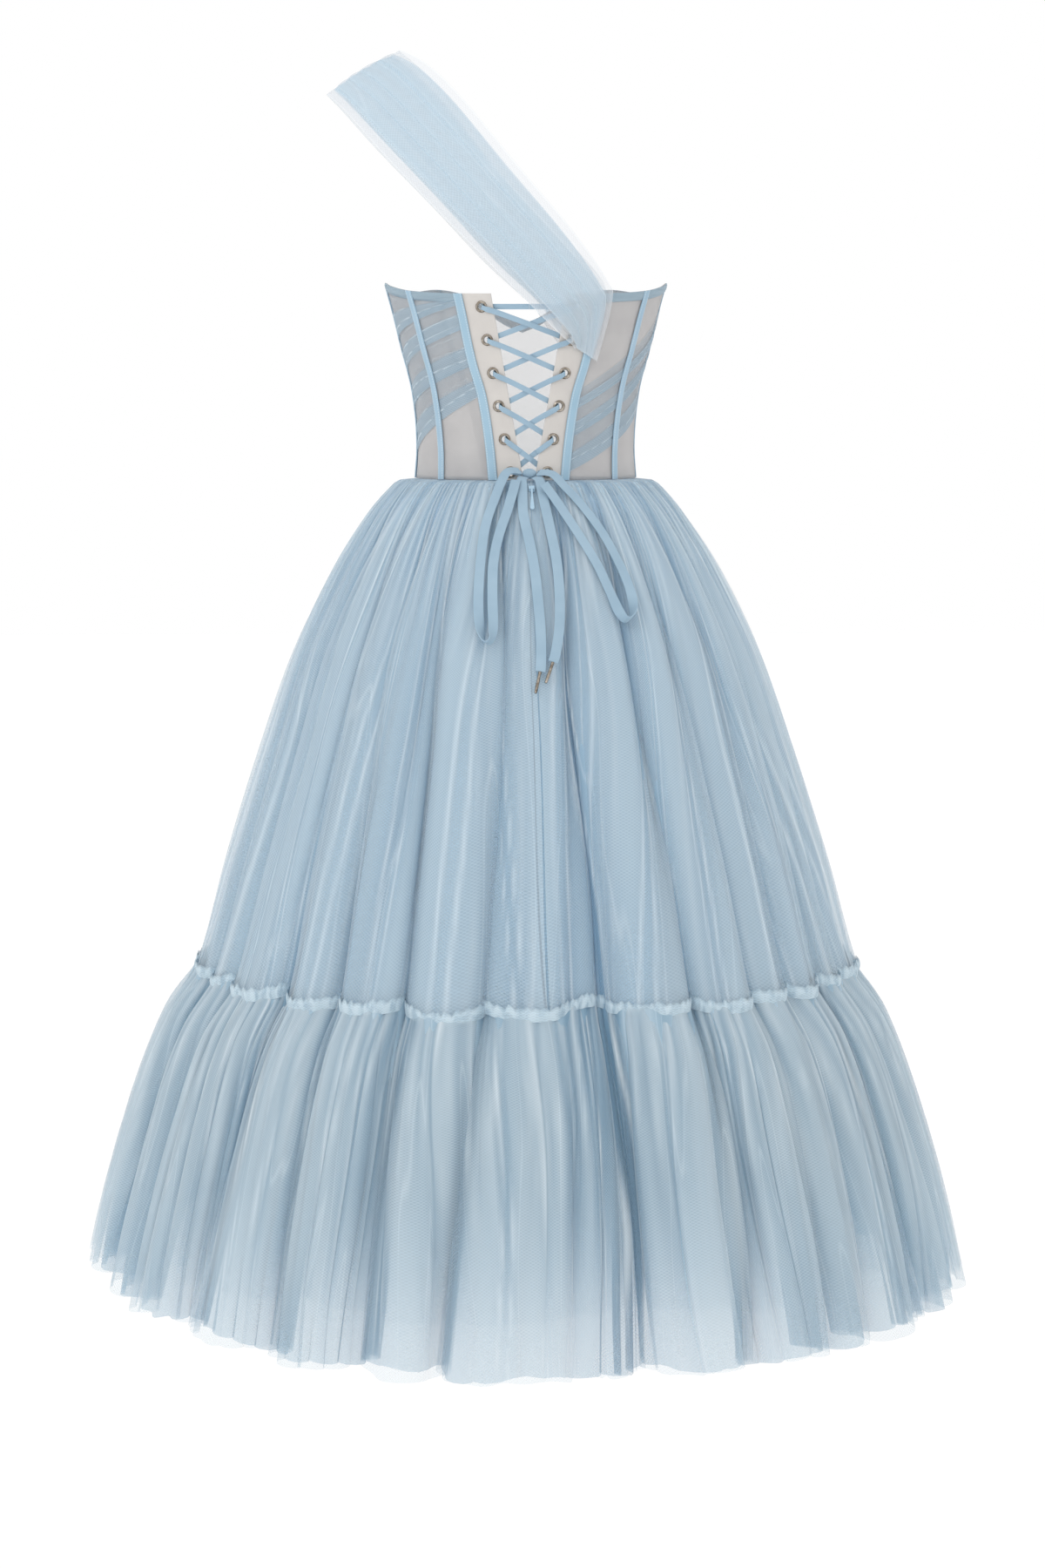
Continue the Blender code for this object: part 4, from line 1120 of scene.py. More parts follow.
class Wardrobe:
    """Every material of the dress."""

    def __init__(self, patterns: ClothPatterns) -> None:
        """Build every finish.

        Args:
            patterns: The shared patterns.
        """
        self.outer = TulleFinish(
            "tulle_outer", (0.62, 0.73, 0.80), (0.40, 0.55, 0.68), 0.10, 0.42,
            edge=(0.80, 0.87, 0.91), edge_share=0.85, edge_cover=0.40).make(patterns)
        # The middle and under layers, and the flounce's inner layer, are darker copies of the same tulle: painted
        # shade for the recesses between the folds.
        self.middle = TulleFinish(
            "tulle_middle", (0.43, 0.60, 0.73), (0.20, 0.36, 0.52), 0.50, 0.78, edge_share=0.5).make(patterns)
        self.under = TulleFinish(
            "tulle_under", (0.36, 0.53, 0.68), (0.18, 0.33, 0.49), 0.94, 1.0, edge_share=0.3).make(patterns)
        self.flounce_outer = TulleFinish(
            "tulle_flounce_outer", (0.57, 0.68, 0.75), (0.28, 0.44, 0.57), 0.22, 0.52, across=34.0,
            edge=(0.78, 0.85, 0.89), edge_share=0.8, edge_cover=0.35).make(patterns)
        self.flounce_middle = TulleFinish(
            "tulle_flounce_middle", (0.37, 0.52, 0.63), (0.15, 0.30, 0.44), 0.66, 0.84, across=34.0,
            edge_share=0.5).make(patterns)
        self.band = TulleFinish(
            "tulle_band", (0.52, 0.65, 0.73), (0.36, 0.50, 0.61), 0.75, 0.92, across=300.0, along=90.0,
            edge=(0.70, 0.79, 0.84), streak_share=0.9).make(patterns)
        self.strap = TulleFinish(
            "tulle_strap", (0.74, 0.77, 0.81), (0.62, 0.69, 0.76), 0.28, 0.42, across=22.0, along=1.0,
            edge=(0.86, 0.90, 0.93), edge_cover=0.25).make(patterns)
        self.strap_core = TulleFinish(
            "tulle_strap_core", (0.54, 0.71, 0.81), (0.42, 0.59, 0.71), 0.62, 0.80, across=22.0, along=1.0,
            edge_share=0.6).make(patterns)
        self.drape = TulleFinish(
            "tulle_drape", (0.38, 0.52, 0.63), (0.27, 0.38, 0.48), 0.40, 0.62, across=2.0, along=60.0,
            edge=(0.64, 0.74, 0.80), edge_share=0.85, edge_cover=0.40, streak_share=0.15).make(patterns)
        self.binding = TulleFinish(
            "tulle_binding", (0.45, 0.57, 0.65), (0.35, 0.47, 0.56), 0.66, 0.82, across=10.0, along=200.0,
            edge=(0.50, 0.61, 0.68)).make(patterns)
        self.mesh = MeshFinish(
            "corset_mesh", (0.57, 0.555, 0.55), (0.49, 0.475, 0.475), 0.74).make(patterns)
        # The front's corset mesh is sheerer, and its lighter colour is painted light that lifts the shade inside the
        # bodice.
        self.front_mesh = MeshFinish(
            "corset_mesh_front", (0.72, 0.71, 0.71), (0.64, 0.63, 0.635), 0.27).make(patterns)
        self.satin = WovenFinish(
            "placket_satin", (0.65, 0.62, 0.585), (0.57, 0.54, 0.515), 900.0, 450.0, 0.55, 0.2).make(patterns)
        self.tape = WovenFinish(
            "boning_tape", (0.37, 0.54, 0.66), (0.30, 0.46, 0.58), 700.0, 350.0, 0.7, 0.15,
            stitch_width=9.5 * MM, stitch_colour=(0.58, 0.70, 0.77)).make(patterns)
        self.narrow_tape = WovenFinish(
            "boning_tape_narrow", (0.38, 0.53, 0.65), (0.31, 0.46, 0.58), 700.0, 350.0, 0.7, 0.15,
            stitch_width=8.075 * MM, stitch_colour=(0.56, 0.68, 0.75)).make(patterns)
        self.lace = WovenFinish(
            "lacing_tape", (0.35, 0.49, 0.60), (0.27, 0.40, 0.51), 1100.0, 500.0, 0.6, 0.2).make(patterns)
        self.metal = MetalFinish("pale_metal", (0.48, 0.43, 0.37), (0.17, 0.14, 0.11), 0.22).make(patterns)
        self.paint = PaintFinish("zip_paint", (0.42, 0.60, 0.73), (0.36, 0.53, 0.67)).make(patterns)


# The skirt

FOLD_DRIFT = Unevenness(0.34, 0.9, 3.4, 1.0)
FOLD_JITTER = Unevenness(0.04, 4.0, 9.0, 5.0)
FOLD_STRENGTH = Unevenness(0.55, 0.6, 5.0, 9.0)
PLEAT_DRIFT = Unevenness(0.42, 1.6, 6.0, 12.0)
PLEAT_STRENGTH = Unevenness(0.6, 1.5, 8.0, 16.0)
GATHER_DRIFT = Unevenness(2.6, 5.0, 22.0, 20.0)
SEAM_WANDER = Unevenness(5.0 * MM, 0.0, 5.0, 31.0)
HEM_WAVES = Unevenness(4.0 * MM, 0.0, 9.0, 40.0)
HEM_RAGS = Unevenness(2.0 * MM, 0.0, 40.0, 50.0)
BAND_DRIFT = Unevenness(5.0, 0.0, 30.0, 5.0)
BAND_RAGS = Unevenness(2.2 * MM, 0.0, 90.0, 9.0)
DRIFT_GROWS = (-0.02, -0.25)
PINCH_FOLLOWS = 0.45
PLEAT_LEAN = 0.6
GATHER_LEAN = 0.3


@dataclass(frozen=True)
class Pleating:
    """How one layer of the skirt is folded, each value by height."""

    inside: Curve
    depth: Curve
    pinch: Curve
    pleats: int
    pleat_depth: Curve
    gathers: int
    gather_depth: Curve
    seed: float
    # Strength of the painted fold shading against the usual.
    contrast: float = 1.0


@dataclass(frozen=True)
class FoldLight:
    """Painted shading of a fold's parts, and where its painted highlight lines lie.

    The cloth is painted lighter on crests by the swing, and darker by a painted
    shadow where a fold hides it; each effect is full at its stated depth. Phases
    are 0 on a crest. A highlight line has its phase and width, after its strength
    where it has one.
    """

    middle: float = 0.86
    dim: float = 0.16
    swing: float = 0.22
    shadow: float = 0.85
    full_depth: float = 12.0 * MM
    least_pinch: float = 1.18
    hides: Pair = (-0.10, 0.12)
    edge_line: Pair = (-0.06, 0.12)
    pleat_depth: float = 3.0 * MM
    pleat_swing: float = 0.14
    pleat_dim: float = 0.06
    pleat_line: Triple = (0.65, 2.2, 0.24)
    gather_depth: float = 1.5 * MM
    gather_swing: float = 0.22
    gather_line: float = 0.40


@dataclass
class TulleRing:
    """Surface of one folded layer of the skirt."""

    form: SkirtForm
    pleating: Pleating
    tuck: float = 3.4 * MM
    tuck_starts: Pair = (-1.2 * MM, -0.4 * MM)
    light: FoldLight = FoldLight()

    def fold_state(self, fold: float, height: float) -> Triple:
        """Phase, strength and pinch of the big folds.

        Args:
            fold: Place round the ring, counted in folds.
            height: Height below the waist, negative.

        Returns:
            The phase, 0 on a crest; the fold's strength against the usual one;
            and its pinch, over 1 where its sides overhang the recess.
        """
        turn = self.form.turn_of(fold)
        drift = FOLD_DRIFT.at(turn, height) + FOLD_JITTER.at(turn, height)
        phase = TURN * (fold + drift * ease(*DRIFT_GROWS, height))
        strength = 1.0 + FOLD_STRENGTH.at(turn, height)
        steady = 1.0 - PINCH_FOLLOWS
        return phase, strength, self.pleating.pinch.at(height) * (steady + PINCH_FOLLOWS * strength)

    def pleat_phase(self, fold: float, height: float) -> float:
        """Phase of the small pleats on the folds."""
        drift = PLEAT_DRIFT.at(self.form.turn_of(fold), height, self.pleating.seed)
        return TURN * (self.pleating.pleats * fold / self.form.folds + drift)

    def gather_phase(self, fold: float, height: float) -> float:
        """Phase of the fine gathers."""
        drift = GATHER_DRIFT.at(self.form.turn_of(fold), height, self.pleating.seed)
        return TURN * self.pleating.gathers * fold / self.form.folds + drift

    def point(self, fold: float, height: float) -> Vector:
        """Point of the layer.

        Args:
            fold: Place round the ring, counted in folds.
            height: Height below the waist, negative.

        Returns:
            The point.
        """
        form, pleating = self.form, self.pleating
        turn, radius = form.turn_of(fold), form.radius.at(height)
        phase, strength, pinch = self.fold_state(fold, height)
        inward = pleating.inside.at(height) + pleating.depth.at(height) * strength * (1 - math.cos(phase)) / 2
        sideways = pinch * radius / form.folds * math.sin(phase)
        pleat = self.pleat_phase(fold, height)
        uneven = 1.0 + PLEAT_STRENGTH.at(turn, height, pleating.seed)
        pleat_depth = pleating.pleat_depth.at(height) * uneven
        inward += pleat_depth * (1 - math.cos(pleat)) / 2
        sideways += PLEAT_LEAN * pleat_depth * math.sin(pleat)
        gather_depth = pleating.gather_depth.at(height)
        if gather_depth > 0.0:
            gather = self.gather_phase(fold, height)
            inward += gather_depth * (1 - math.cos(gather)) / 2
            sideways += GATHER_LEAN * gather_depth * math.sin(gather)
        inward += self.tuck * ease(*self.tuck_starts, height)
        return form.ring(turn + sideways / radius, height, -inward)

    def tone(self, fold: float, height: float) -> Pair:
        """Painted fold shading of the cloth, and how near a fold's edge its painted highlight lies.

        Args:
            fold: Place round the ring, counted in folds.
            height: Height below the waist, negative.

        Returns:
            The painted lightness and the painted highlight, each from 0 to 1.
        """
        pleating, painted_shading = self.pleating, self.light
        phase, strength, pinch = self.fold_state(fold, height)
        # Painted shade: lighter on crests, darker by a painted shadow on the sides that a fold hides.
        from_crest = abs(math.remainder(phase, TURN))
        side = math.acos(-1 / max(pinch, painted_shading.least_pinch))
        grown = min(1.0, pleating.depth.at(height) * strength / painted_shading.full_depth)
        fold_shadow_mask = ease(side + painted_shading.hides[0], side + painted_shading.hides[1], from_crest) * grown
        light = painted_shading.middle - pleating.contrast * (painted_shading.dim - painted_shading.swing * math.cos(from_crest))
        light -= painted_shading.shadow * fold_shadow_mask
        # Painted highlight line along each fold's edge.
        shift, width = painted_shading.edge_line
        rim_highlight = bell(from_crest, side + shift, width) * grown
        # Painted light and shade of the small pleats, with painted highlight lines on them.
        pleat = abs(math.remainder(self.pleat_phase(fold, height), TURN))
        small = min(1.0, pleating.pleat_depth.at(height) / painted_shading.pleat_depth)
        light += small * (painted_shading.pleat_swing * math.cos(pleat) - painted_shading.pleat_dim)
        share, middle, width = painted_shading.pleat_line
        rim_highlight += share * small * bell(pleat, middle, width) * (1 - fold_shadow_mask)
        # Painted light and shade of the fine gathers, with painted highlights on their crests.
        fine = min(1.0, pleating.gather_depth.at(height) / painted_shading.gather_depth)
        if fine > 0.0:
            gather = math.cos(self.gather_phase(fold, height))
            light += painted_shading.gather_swing * fine * gather
            rim_highlight += painted_shading.gather_line * fine * max(0.0, gather) ** 6
        return min(1.0, max(0.0, light)), min(1.0, rim_highlight)


@dataclass
class Skirt:
    """The gathered tier, the flounce, the band between them and the layers inside."""

    form: SkirtForm
    wardrobe: Wardrobe
    seam_rise: float = 7.0 * MM
    band_above: float = 8.0 * MM
    band_below: float = 5.2 * MM
    top: float = -0.0003
    tier_cut: Pair = (0.64, 0.58)
    flounce_cut: Pair = (2.6, 0.35)
    flounce_lap: float = 3.0 * MM
    flounce_fade: Triple = (-0.84, -0.71, 0.62)
    band_cut: Pair = (1.3, 0.014)
    band_ruches: float = 13.0
    band_swell: float = 1.2 * MM
    band_ruche: float = 0.4 * MM
    band_clear: float = 0.6 * MM
    under_cut: Pair = (1.25, 0.85)
    under_top: float = -0.006
    under_hem: float = -0.79
    under_wave: float = 6.0 * MM
    under_fade: Triple = (-0.79, -0.66, 0.12)
    zip_gap: float = 0.004
    outer_tier: Pleating = field(init=False)

    def __post_init__(self) -> None:
        """Set the outer layer's pleating, which the seam follows."""
        self.outer_tier = self.tier(0.0, 1.0, 1.0)

    def seam_at(self, fold: float) -> float:
        """Height of the flounce's seam, which the folds pull up unevenly."""
        turn = self.form.turn_of(fold)
        phase = TulleRing(self.form, self.outer_tier).fold_state(fold, self.form.seam_height)[0]
        pulled = 0.5 * (1 - math.cos(phase)) * self.seam_rise
        return self.form.seam_height + pulled + SEAM_WANDER.at(turn)

    def hem_at(self, fold: float, layer: float) -> float:
        """Height of a layer's ragged hem.

        Args:
            fold: Place round the ring.
            layer: Chooses the layer's own raggedness.

        Returns:
            The height.
        """
        turn = self.form.turn_of(fold)
        return self.form.hem_at(turn) + HEM_WAVES.at(turn, seed=layer) + HEM_RAGS.at(turn, seed=layer)

    def tier(self, inside: float, seed: float, depth: float) -> Pleating:
        """Pleating of a layer of the upper tier.

        Args:
            inside: How far inside the outline its crests lie at the seam.
            seed: Chooses its unevenness.
            depth: Depth of its folds against the outer layer's.

        Returns:
            The pleating.
        """
        return Pleating(
            inside=Curve(
                (SEAM, inside), (-0.30, inside), (-0.10, inside * 0.6), (-0.02, inside * 0.2), (0.0, 0.0)),
            depth=Curve(
                (SEAM, 0.034 * depth), (-0.39, 0.031 * depth), (-0.28, 0.026 * depth), (-0.17, 0.018 * depth),
                (-0.09, 0.0105 * depth), (-0.04, 0.0042 * depth), (-0.012, 0.0010), (0.0, 0.0)),
            pinch=Curve((SEAM, 1.22), (-0.30, 1.30), (-0.15, 1.15), (-0.06, 0.6), (0.0, 0.0)),
            pleats=78,
            pleat_depth=Curve(
                (SEAM, 0.0034), (-0.30, 0.0044), (-0.10, 0.0036), (-0.03, 0.0018), (-0.005, 0.0004),
                (0.0, 0.0)),
            gathers=156,
            gather_depth=Curve(
                (SEAM, 0.0), (-0.20, 0.0), (-0.12, 0.0007), (-0.03, 0.0018), (-0.006, 0.0016), (0.0, 0.0010)),
            seed=seed)

    def ruffle(self, inside: float, seed: float) -> Pleating:
        """Pleating of a layer of the flounce.

        Args:
            inside: How far inside the outline its crests lie at the hem.
            seed: Chooses its unevenness.

        Returns:
            The pleating.
        """
        return Pleating(
            inside=Curve((HEM, inside), (-0.60, inside), (-0.53, inside * 0.5), (SEAM, 0.0010)),
            depth=Curve((HEM, 0.040), (-0.74, 0.042), (-0.63, 0.040), (-0.55, 0.037), (SEAM, 0.034)),
            pinch=Curve((HEM, 0.95), (-0.70, 1.15), (-0.60, 1.30), (SEAM, 1.22)),
            pleats=143,
            pleat_depth=Curve((HEM, 0.0085), (-0.70, 0.0080), (-0.58, 0.0055), (SEAM, 0.0026)),
            gathers=312,
            gather_depth=Curve(
                (HEM, 0.0), (-0.70, 0.0004), (-0.60, 0.0014), (-0.53, 0.0026), (SEAM, 0.0020)),
            seed=seed,
            contrast=1.8)

    def lay(self, name: str, ring: TulleRing, span: Pair, columns: int, rows: int,
            edges: tuple[Line, Line],
            cut: Pair, crowd: float = 1.0, fade: Triple = (-2.0, -1.0, 1.0)) -> Piece:
        """Lay one piece of a layer.

        Args:
            name: The piece's name.
            ring: The layer's surface.
            span: First and last fold.
            columns: Faces across.
            rows: Faces along.
            edges: Heights of its upper and lower edge by fold.
            cut: Width and length of the cut cloth.
            crowd: Over 1, rows crowd towards the upper edge.
            fade: Lower end, upper end and least cover of the zone where the
                cloth thins towards its hem.

        Returns:
            The piece.
        """
        upper, lower = edges

        def spot(share: float, rise: float) -> tuple[float, float]:
            fold = span[0] + share * (span[1] - span[0])
            drop = (1.0 - rise) ** crowd
            top, bottom = upper(fold), lower(fold)
            return fold, top + drop * (bottom - top)

        def tone(share: float, rise: float) -> Triple:
            # Painted fold shading and highlight lines of the ring, with the cover thinning towards the hem.
            fold, height = spot(share, rise)
            full = fade[2] + (1 - fade[2]) * ease(fade[0], fade[1], height)
            return (*ring.tone(fold, height), full)

        piece = cloth(name, columns, rows, lambda share, rise: ring.point(*spot(share, rise)), cut, tone)
        face_out(piece, Vector((0.0, 0.0, -0.4)))
        return piece

    def build(self) -> None:
        """Build every layer of the skirt."""
        quarter = self.form.folds / 4
        halves = (("back", -quarter, quarter), ("front", quarter, 3 * quarter))
        self.build_tier(quarter)
        self.build_flounce(halves)
        for half in halves:
            self.build_band(*half)
        self.build_under(halves)

    def build_tier(self, quarter: float) -> None:
        """The gathered upper tier in three pieces, with a second layer inside.

        Args:
            quarter: A quarter of the ring in folds.
        """
        spans = (("back_right", self.zip_gap, quarter, 1), ("back_left", -quarter, -self.zip_gap, 1),
                 ("front", quarter, 3 * quarter, 2))
        outer = TulleRing(self.form, self.outer_tier)
        middle = TulleRing(self.form, self.tier(0.010, 63.0, 0.7))
        for label, first, last, parts in spans:
            cut = (self.tier_cut[0] * parts, self.tier_cut[1])
            edges = (lambda _fold: self.top, self.seam_at)
            piece = self.lay(f"tier_{label}", outer, (first, last), 300 * parts, 44, edges, cut, 1.5)
            carry(piece, Slot.TULLE, self.wardrobe.outer, f"skirt_{label}")
            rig.sheet(piece, flat=cut, held="gathered", rests_on=["underskirt_back"])
            inner = self.lay(f"tier_inner_{label}", middle, (first, last), 200 * parts, 34, edges, cut, 1.5)
            # The inner layer takes the darker tulle, painted shade for the recesses.
            carry(inner, Slot.TULLE, self.wardrobe.middle)
            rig.sheet(inner, flat=cut, held="gathered", rests_on=["underskirt_back"])

    def build_flounce(self, halves: Sequence[tuple[str, float, float]]) -> None:
        """The flounce: two gathered layers.

        Args:
            halves: Label, first and last fold of its back and front.
        """
        layers = (("flounce_outer", self.ruffle(-0.008, 1.0), 650, 34, self.wardrobe.flounce_outer, 0.0),
                  ("flounce_inner", self.ruffle(0.004, 77.0), 480, 26, self.wardrobe.flounce_middle, 2.0))
        for kind, pleating, columns, rows, material, layer in layers:
            ring = TulleRing(self.form, pleating)
            for label, first, last in halves:
                edges = (lambda fold: self.seam_at(fold) + self.flounce_lap,
                         lambda fold, layer=layer: self.hem_at(fold, layer))
                piece = self.lay(f"{kind}_{label}", ring, (first, last), columns, rows, edges,
                                 self.flounce_cut, 1.25, self.flounce_fade)
                nodes = [f"flounce_{label}"] if layer == 0.0 else []
                carry(piece, Slot.TULLE, material, *nodes)
                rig.sheet(piece, flat=self.flounce_cut, held="gathered", rests_on=[f"underskirt_{label}"])

    def build_band(self, label: str, first: float, last: float) -> None:
        """One half of the gathered seam band over the flounce's join.

        Args:
            label: Which half.
            first: Its first fold.
            last: Its last fold.
        """
        ring = TulleRing(self.form, self.outer_tier)

        def place(share: float, rise: float) -> Vector:
            fold = first + share * (last - first)
            base = ring.point(fold, self.seam_at(fold))
            turn = math.atan2(base.x, -base.y)
            out = Vector((math.sin(turn), -math.cos(turn), 0.0))
            ruche = self.band_ruche * math.sin(TURN * self.band_ruches * fold + BAND_DRIFT.at(turn))
            swell = (self.band_swell + ruche) * math.sin(math.pi * rise)
            lift = rise * (self.band_above + self.band_below) - self.band_below
            lift += BAND_RAGS.at(turn) * rise + ruche * 0.5
            return base + out * (self.band_clear + swell) + Vector((0, 0, lift))

        def tone(share: float, rise: float) -> Triple:
            fold = first + share * (last - first)
            # Painted fold shading of the outer tier at the seam, and a painted highlight on the band's ruche creases;
            # the cover thins towards the top.
            light, _rim_highlight = ring.tone(fold, self.form.seam_height)
            crease = 0.5 + 0.5 * math.sin(TURN * self.band_ruches * fold)
            return light, 0.35 * crease, 1.0 - 0.6 * ease(0.72, 1.0, rise)

        piece = cloth(f"seam_band_gathered_{label}", 900, 6, place, self.band_cut, tone)
        face_out(piece, Vector((0.0, 0.0, -0.5)))
        carry(piece, Slot.TULLE, self.wardrobe.band, f"seam_band_{label}")
        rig.sheet(piece, flat=self.band_cut, held="gathered", rests_on=[f"flounce_{label}"])

    def build_under(self, halves: Sequence[tuple[str, float, float]]) -> None:
        """The denser under layer, which ends above the hem.

        Args:
            halves: Label, first and last fold of its back and front.
        """
        pleating = Pleating(
            inside=Curve(
                (self.under_hem, 0.040), (-0.60, 0.036), (SEAM, 0.032), (-0.30, 0.024), (-0.16, 0.016),
                (-0.07, 0.0085), (-0.02, 0.003)),
            depth=Curve((-0.75, 0.022), (SEAM, 0.015), (-0.30, 0.011), (-0.10, 0.005), (-0.02, 0.0005)),
            pinch=Curve((-0.75, 0.9), (-0.20, 0.9), (-0.02, 0.0)),
            pleats=78,
            pleat_depth=Curve((-0.75, 0.005), (-0.30, 0.003), (-0.02, 0.0008)),
            gathers=156,
            gather_depth=Curve((-0.75, 0.0006), (-0.20, 0.0006), (-0.02, 0.0008)),
            seed=120.0)
        ring = TulleRing(self.form, pleating)
        edges = (lambda _fold: self.under_top,
                 lambda fold: self.under_hem + self.under_wave * math.sin(2.1 * fold))
        for label, first, last in halves:
            piece = self.lay(f"underskirt_gathered_{label}", ring, (first, last), 420, 46, edges,
                             self.under_cut, 1.3, self.under_fade)
            # The under layer takes the darker tulle, painted shade for the recesses.
            carry(piece, Slot.TULLE, self.wardrobe.under, f"underskirt_{label}")
            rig.sheet(piece, flat=self.under_cut, held="gathered", rests_on=[f"underskirt_{label}"])


# The bodice


@dataclass(frozen=True)
class Drape:
    """One diagonal band, by the heights of its edges.

    They are given at the back seam and at its outer end, whose turn is in
    degrees.
    """

    side: Side
    name: str
    back_low: float
    back_high: float
    side_turn: float
    side_low: float
    side_high: float


DRAPES = (
    Drape(Side.LEFT, "lower", 0.085, 0.108, -95.0, 0.02, 0.06),
    Drape(Side.LEFT, "middle", 0.115, 0.142, -95.0, 0.068, 0.096),
    Drape(Side.LEFT, "upper", 0.152, 0.174, -95.0, 0.105, 0.13),
    Drape(Side.LEFT, "top", 0.176, 0.185, -95.0, 0.138, 0.175),
    Drape(Side.RIGHT, "lower", 0.007, 0.033, 80.0, 0.064, 0.1),
    Drape(Side.RIGHT, "middle", 0.042, 0.062, 92.0, 0.115, 0.142),
    Drape(Side.RIGHT, "upper", 0.07, 0.084, 95.0, 0.15, 0.175),
)


@dataclass
class Bodice:
    """Panels, plackets, tapes, binding and drapes of the corset."""

    form: BodiceForm
    wardrobe: Wardrobe
    cloth_thickness: float = 0.5 * MM
    placket_proud: float = 0.6 * MM
    placket_thickness: float = 1.8 * MM
    tape_width: float = 9.5 * MM
    narrow: float = 0.85
    tape_level: float = 2.2 * MM
    binding_height: float = 9.0 * MM
    placket_clear: float = 1.2 * MM
    lap: float = 1.42
    seam_gap: float = 0.15 * MM
    panel_length: float = 0.195
    front_cut: Pair = (0.13, 0.185)
    placket_cut: Pair = (0.033, 0.188)
    hole_radius: float = 4.3 * MM
    tape_length: float = 0.192
    tape_thickness: float = 0.9 * MM
    turned_in: float = 2.5 * MM
    binding_start: float = math.radians(98.0)
    binding_gap: float = 0.003
    binding_flat: float = 12.0 * MM
    drape_cut: Pair = (0.115, 0.040)

    def lay(self, name: str, spot: Place, columns: int, rows: int, level: Callable[[float, float], float],
            cut: Pair, tone: Tone = plain_tone) -> Piece:
        """Lay a sheet on the bodice.

        Args:
            name: The piece's name.
            spot: Gives turn and height at a share round and up.
            columns: Faces round.
            rows: Faces up.
            level: Height off the cloth at a share round and up.
            cut: Width and length of the cut cloth.
            tone: Its painted shading and highlight lines.

        Returns:
            The sheet, with its faces outwards.
        """
        def place(share: float, rise: float) -> Vector:
            where = spot(share, rise)
            return self.form.point(where.x, where.y, level(share, rise))

        piece = cloth(name, columns, rows, place, cut, tone)
        face_out(piece, Vector((0.0, 0.0, 0.1)))
        return piece

    def wrinkle(self, where: Vector) -> float:
        """Small pulls in the mesh, strongest near the waist."""
        near_waist = 0.35 + 0.65 * math.exp(-where.y / 0.05)
        return 0.5 * MM * stir(where.x * 4.0, where.y * 55.0, 3.0) * near_waist

    def build(self) -> None:
        """Build the whole bodice."""
        for side in Side:
            self.build_panels(side)
            self.build_placket(side)
            self.build_tapes(side)
            for order, drape in enumerate(row for row in DRAPES if row.side is side):
                self.build_drape(drape, order)
        self.build_centre_front()
        self.build_bindings()

    def build_panels(self, side: Side) -> None:
        """The three mesh panels of one side.

        Args:
            side: Which side.
        """
        form = self.form
        # The cup panels take the front's lighter corset mesh, whose lighter colour is painted light.
        spans = (("back", form.back_seam, form.side_back_seam, 0.060, self.wardrobe.mesh),
                 ("side_back", form.side_back_seam, form.side_seam, 0.080, self.wardrobe.mesh),
                 ("cup", form.side_seam, form.cup_seam, 0.110, self.wardrobe.front_mesh))
        for kind, first, last, width, material in spans:
            spot = form.between(form.seam(first, side, side.value * self.seam_gap),
                                form.seam(last, side, -side.value * self.seam_gap))
            piece = self.lay(f"mesh_{kind}_{side.label}", spot, 22, 44,
                             lambda share, rise, spot=spot: self.wrinkle(spot(share, rise))
                             * math.sin(math.pi * share), (width, self.panel_length))
            thicken(piece, self.cloth_thickness)
            carry(piece, Slot.MESH, material, f"panel_{kind}_{side.label}")
            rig.sheet(piece, flat=(width, self.panel_length), held="stretched",
                     rests_on=[f"tape_inner_{side.label}"])

    def build_centre_front(self) -> None:
        """The centre-front panel between the cup seams."""
        form = self.form
        left = form.seam(form.cup_seam, Side.LEFT, -self.seam_gap)
        spot = form.between(form.seam(form.cup_seam, Side.RIGHT, self.seam_gap),
                            lambda height: TURN + left(height))
        piece = self.lay("mesh_centre_front", spot, 36, 44,
                         lambda share, rise: self.wrinkle(spot(share, rise)), self.front_cut)
        thicken(piece, self.cloth_thickness)
        # The front's lighter corset mesh: its lighter colour is painted light that lifts the shade inside the bodice.
        carry(piece, Slot.MESH, self.wardrobe.front_mesh, "panel_centre_front")
        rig.sheet(piece, flat=self.front_cut, held="stretched", rests_on=["tape_cup_left", "tape_cup_right"])

    def build_placket(self, side: Side) -> None:
        """The satin placket of one side, with holes for its eyelets.

        Args:
            side: Which side.
        """
        form = self.form
        seam = form.seam(form.back_seam, side, -side.value * self.seam_gap)
        spot = form.between(form.placket_edge(side), seam)
        piece = self.lay(f"placket_satin_{side.label}", spot, 20, 90,
                         lambda share, rise: self.placket_proud
                         + 0.12 * MM * stir(share * 3.0, rise * 22.0, side.value), self.placket_cut)
        thicken(piece, self.placket_thickness, bevel=0.4 * MM)
        for row in range(Eyelets.per_side):
            self.bore(piece, Eyelets.frame_at(form, side, row), self.hole_radius)
        carry(piece, Slot.PLACKET, self.wardrobe.satin, f"placket_{side.label}")
        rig.sheet(piece, flat=self.placket_cut, held="stretched", rests_on=[f"tape_inner_{side.label}"])

    @staticmethod
    def bore(piece: Piece, frame: Matrix, radius: float) -> None:
        """Cut a round hole through a piece.

        Args:
            piece: The piece.
            frame: The hole's frame, Z along it.
            radius: The hole's radius.
        """
        deselect_all()
        bpy.ops.mesh.primitive_cylinder_add(vertices=32, radius=radius, depth=12 * MM)
        cutter = take_new("hole_cutter")
        cutter.matrix_world = frame
        bpy.context.view_layer.update()
        apply_modifier(piece, "BOOLEAN", operation="DIFFERENCE", object=cutter, solver="EXACT")
        bpy.data.objects.remove(cutter)

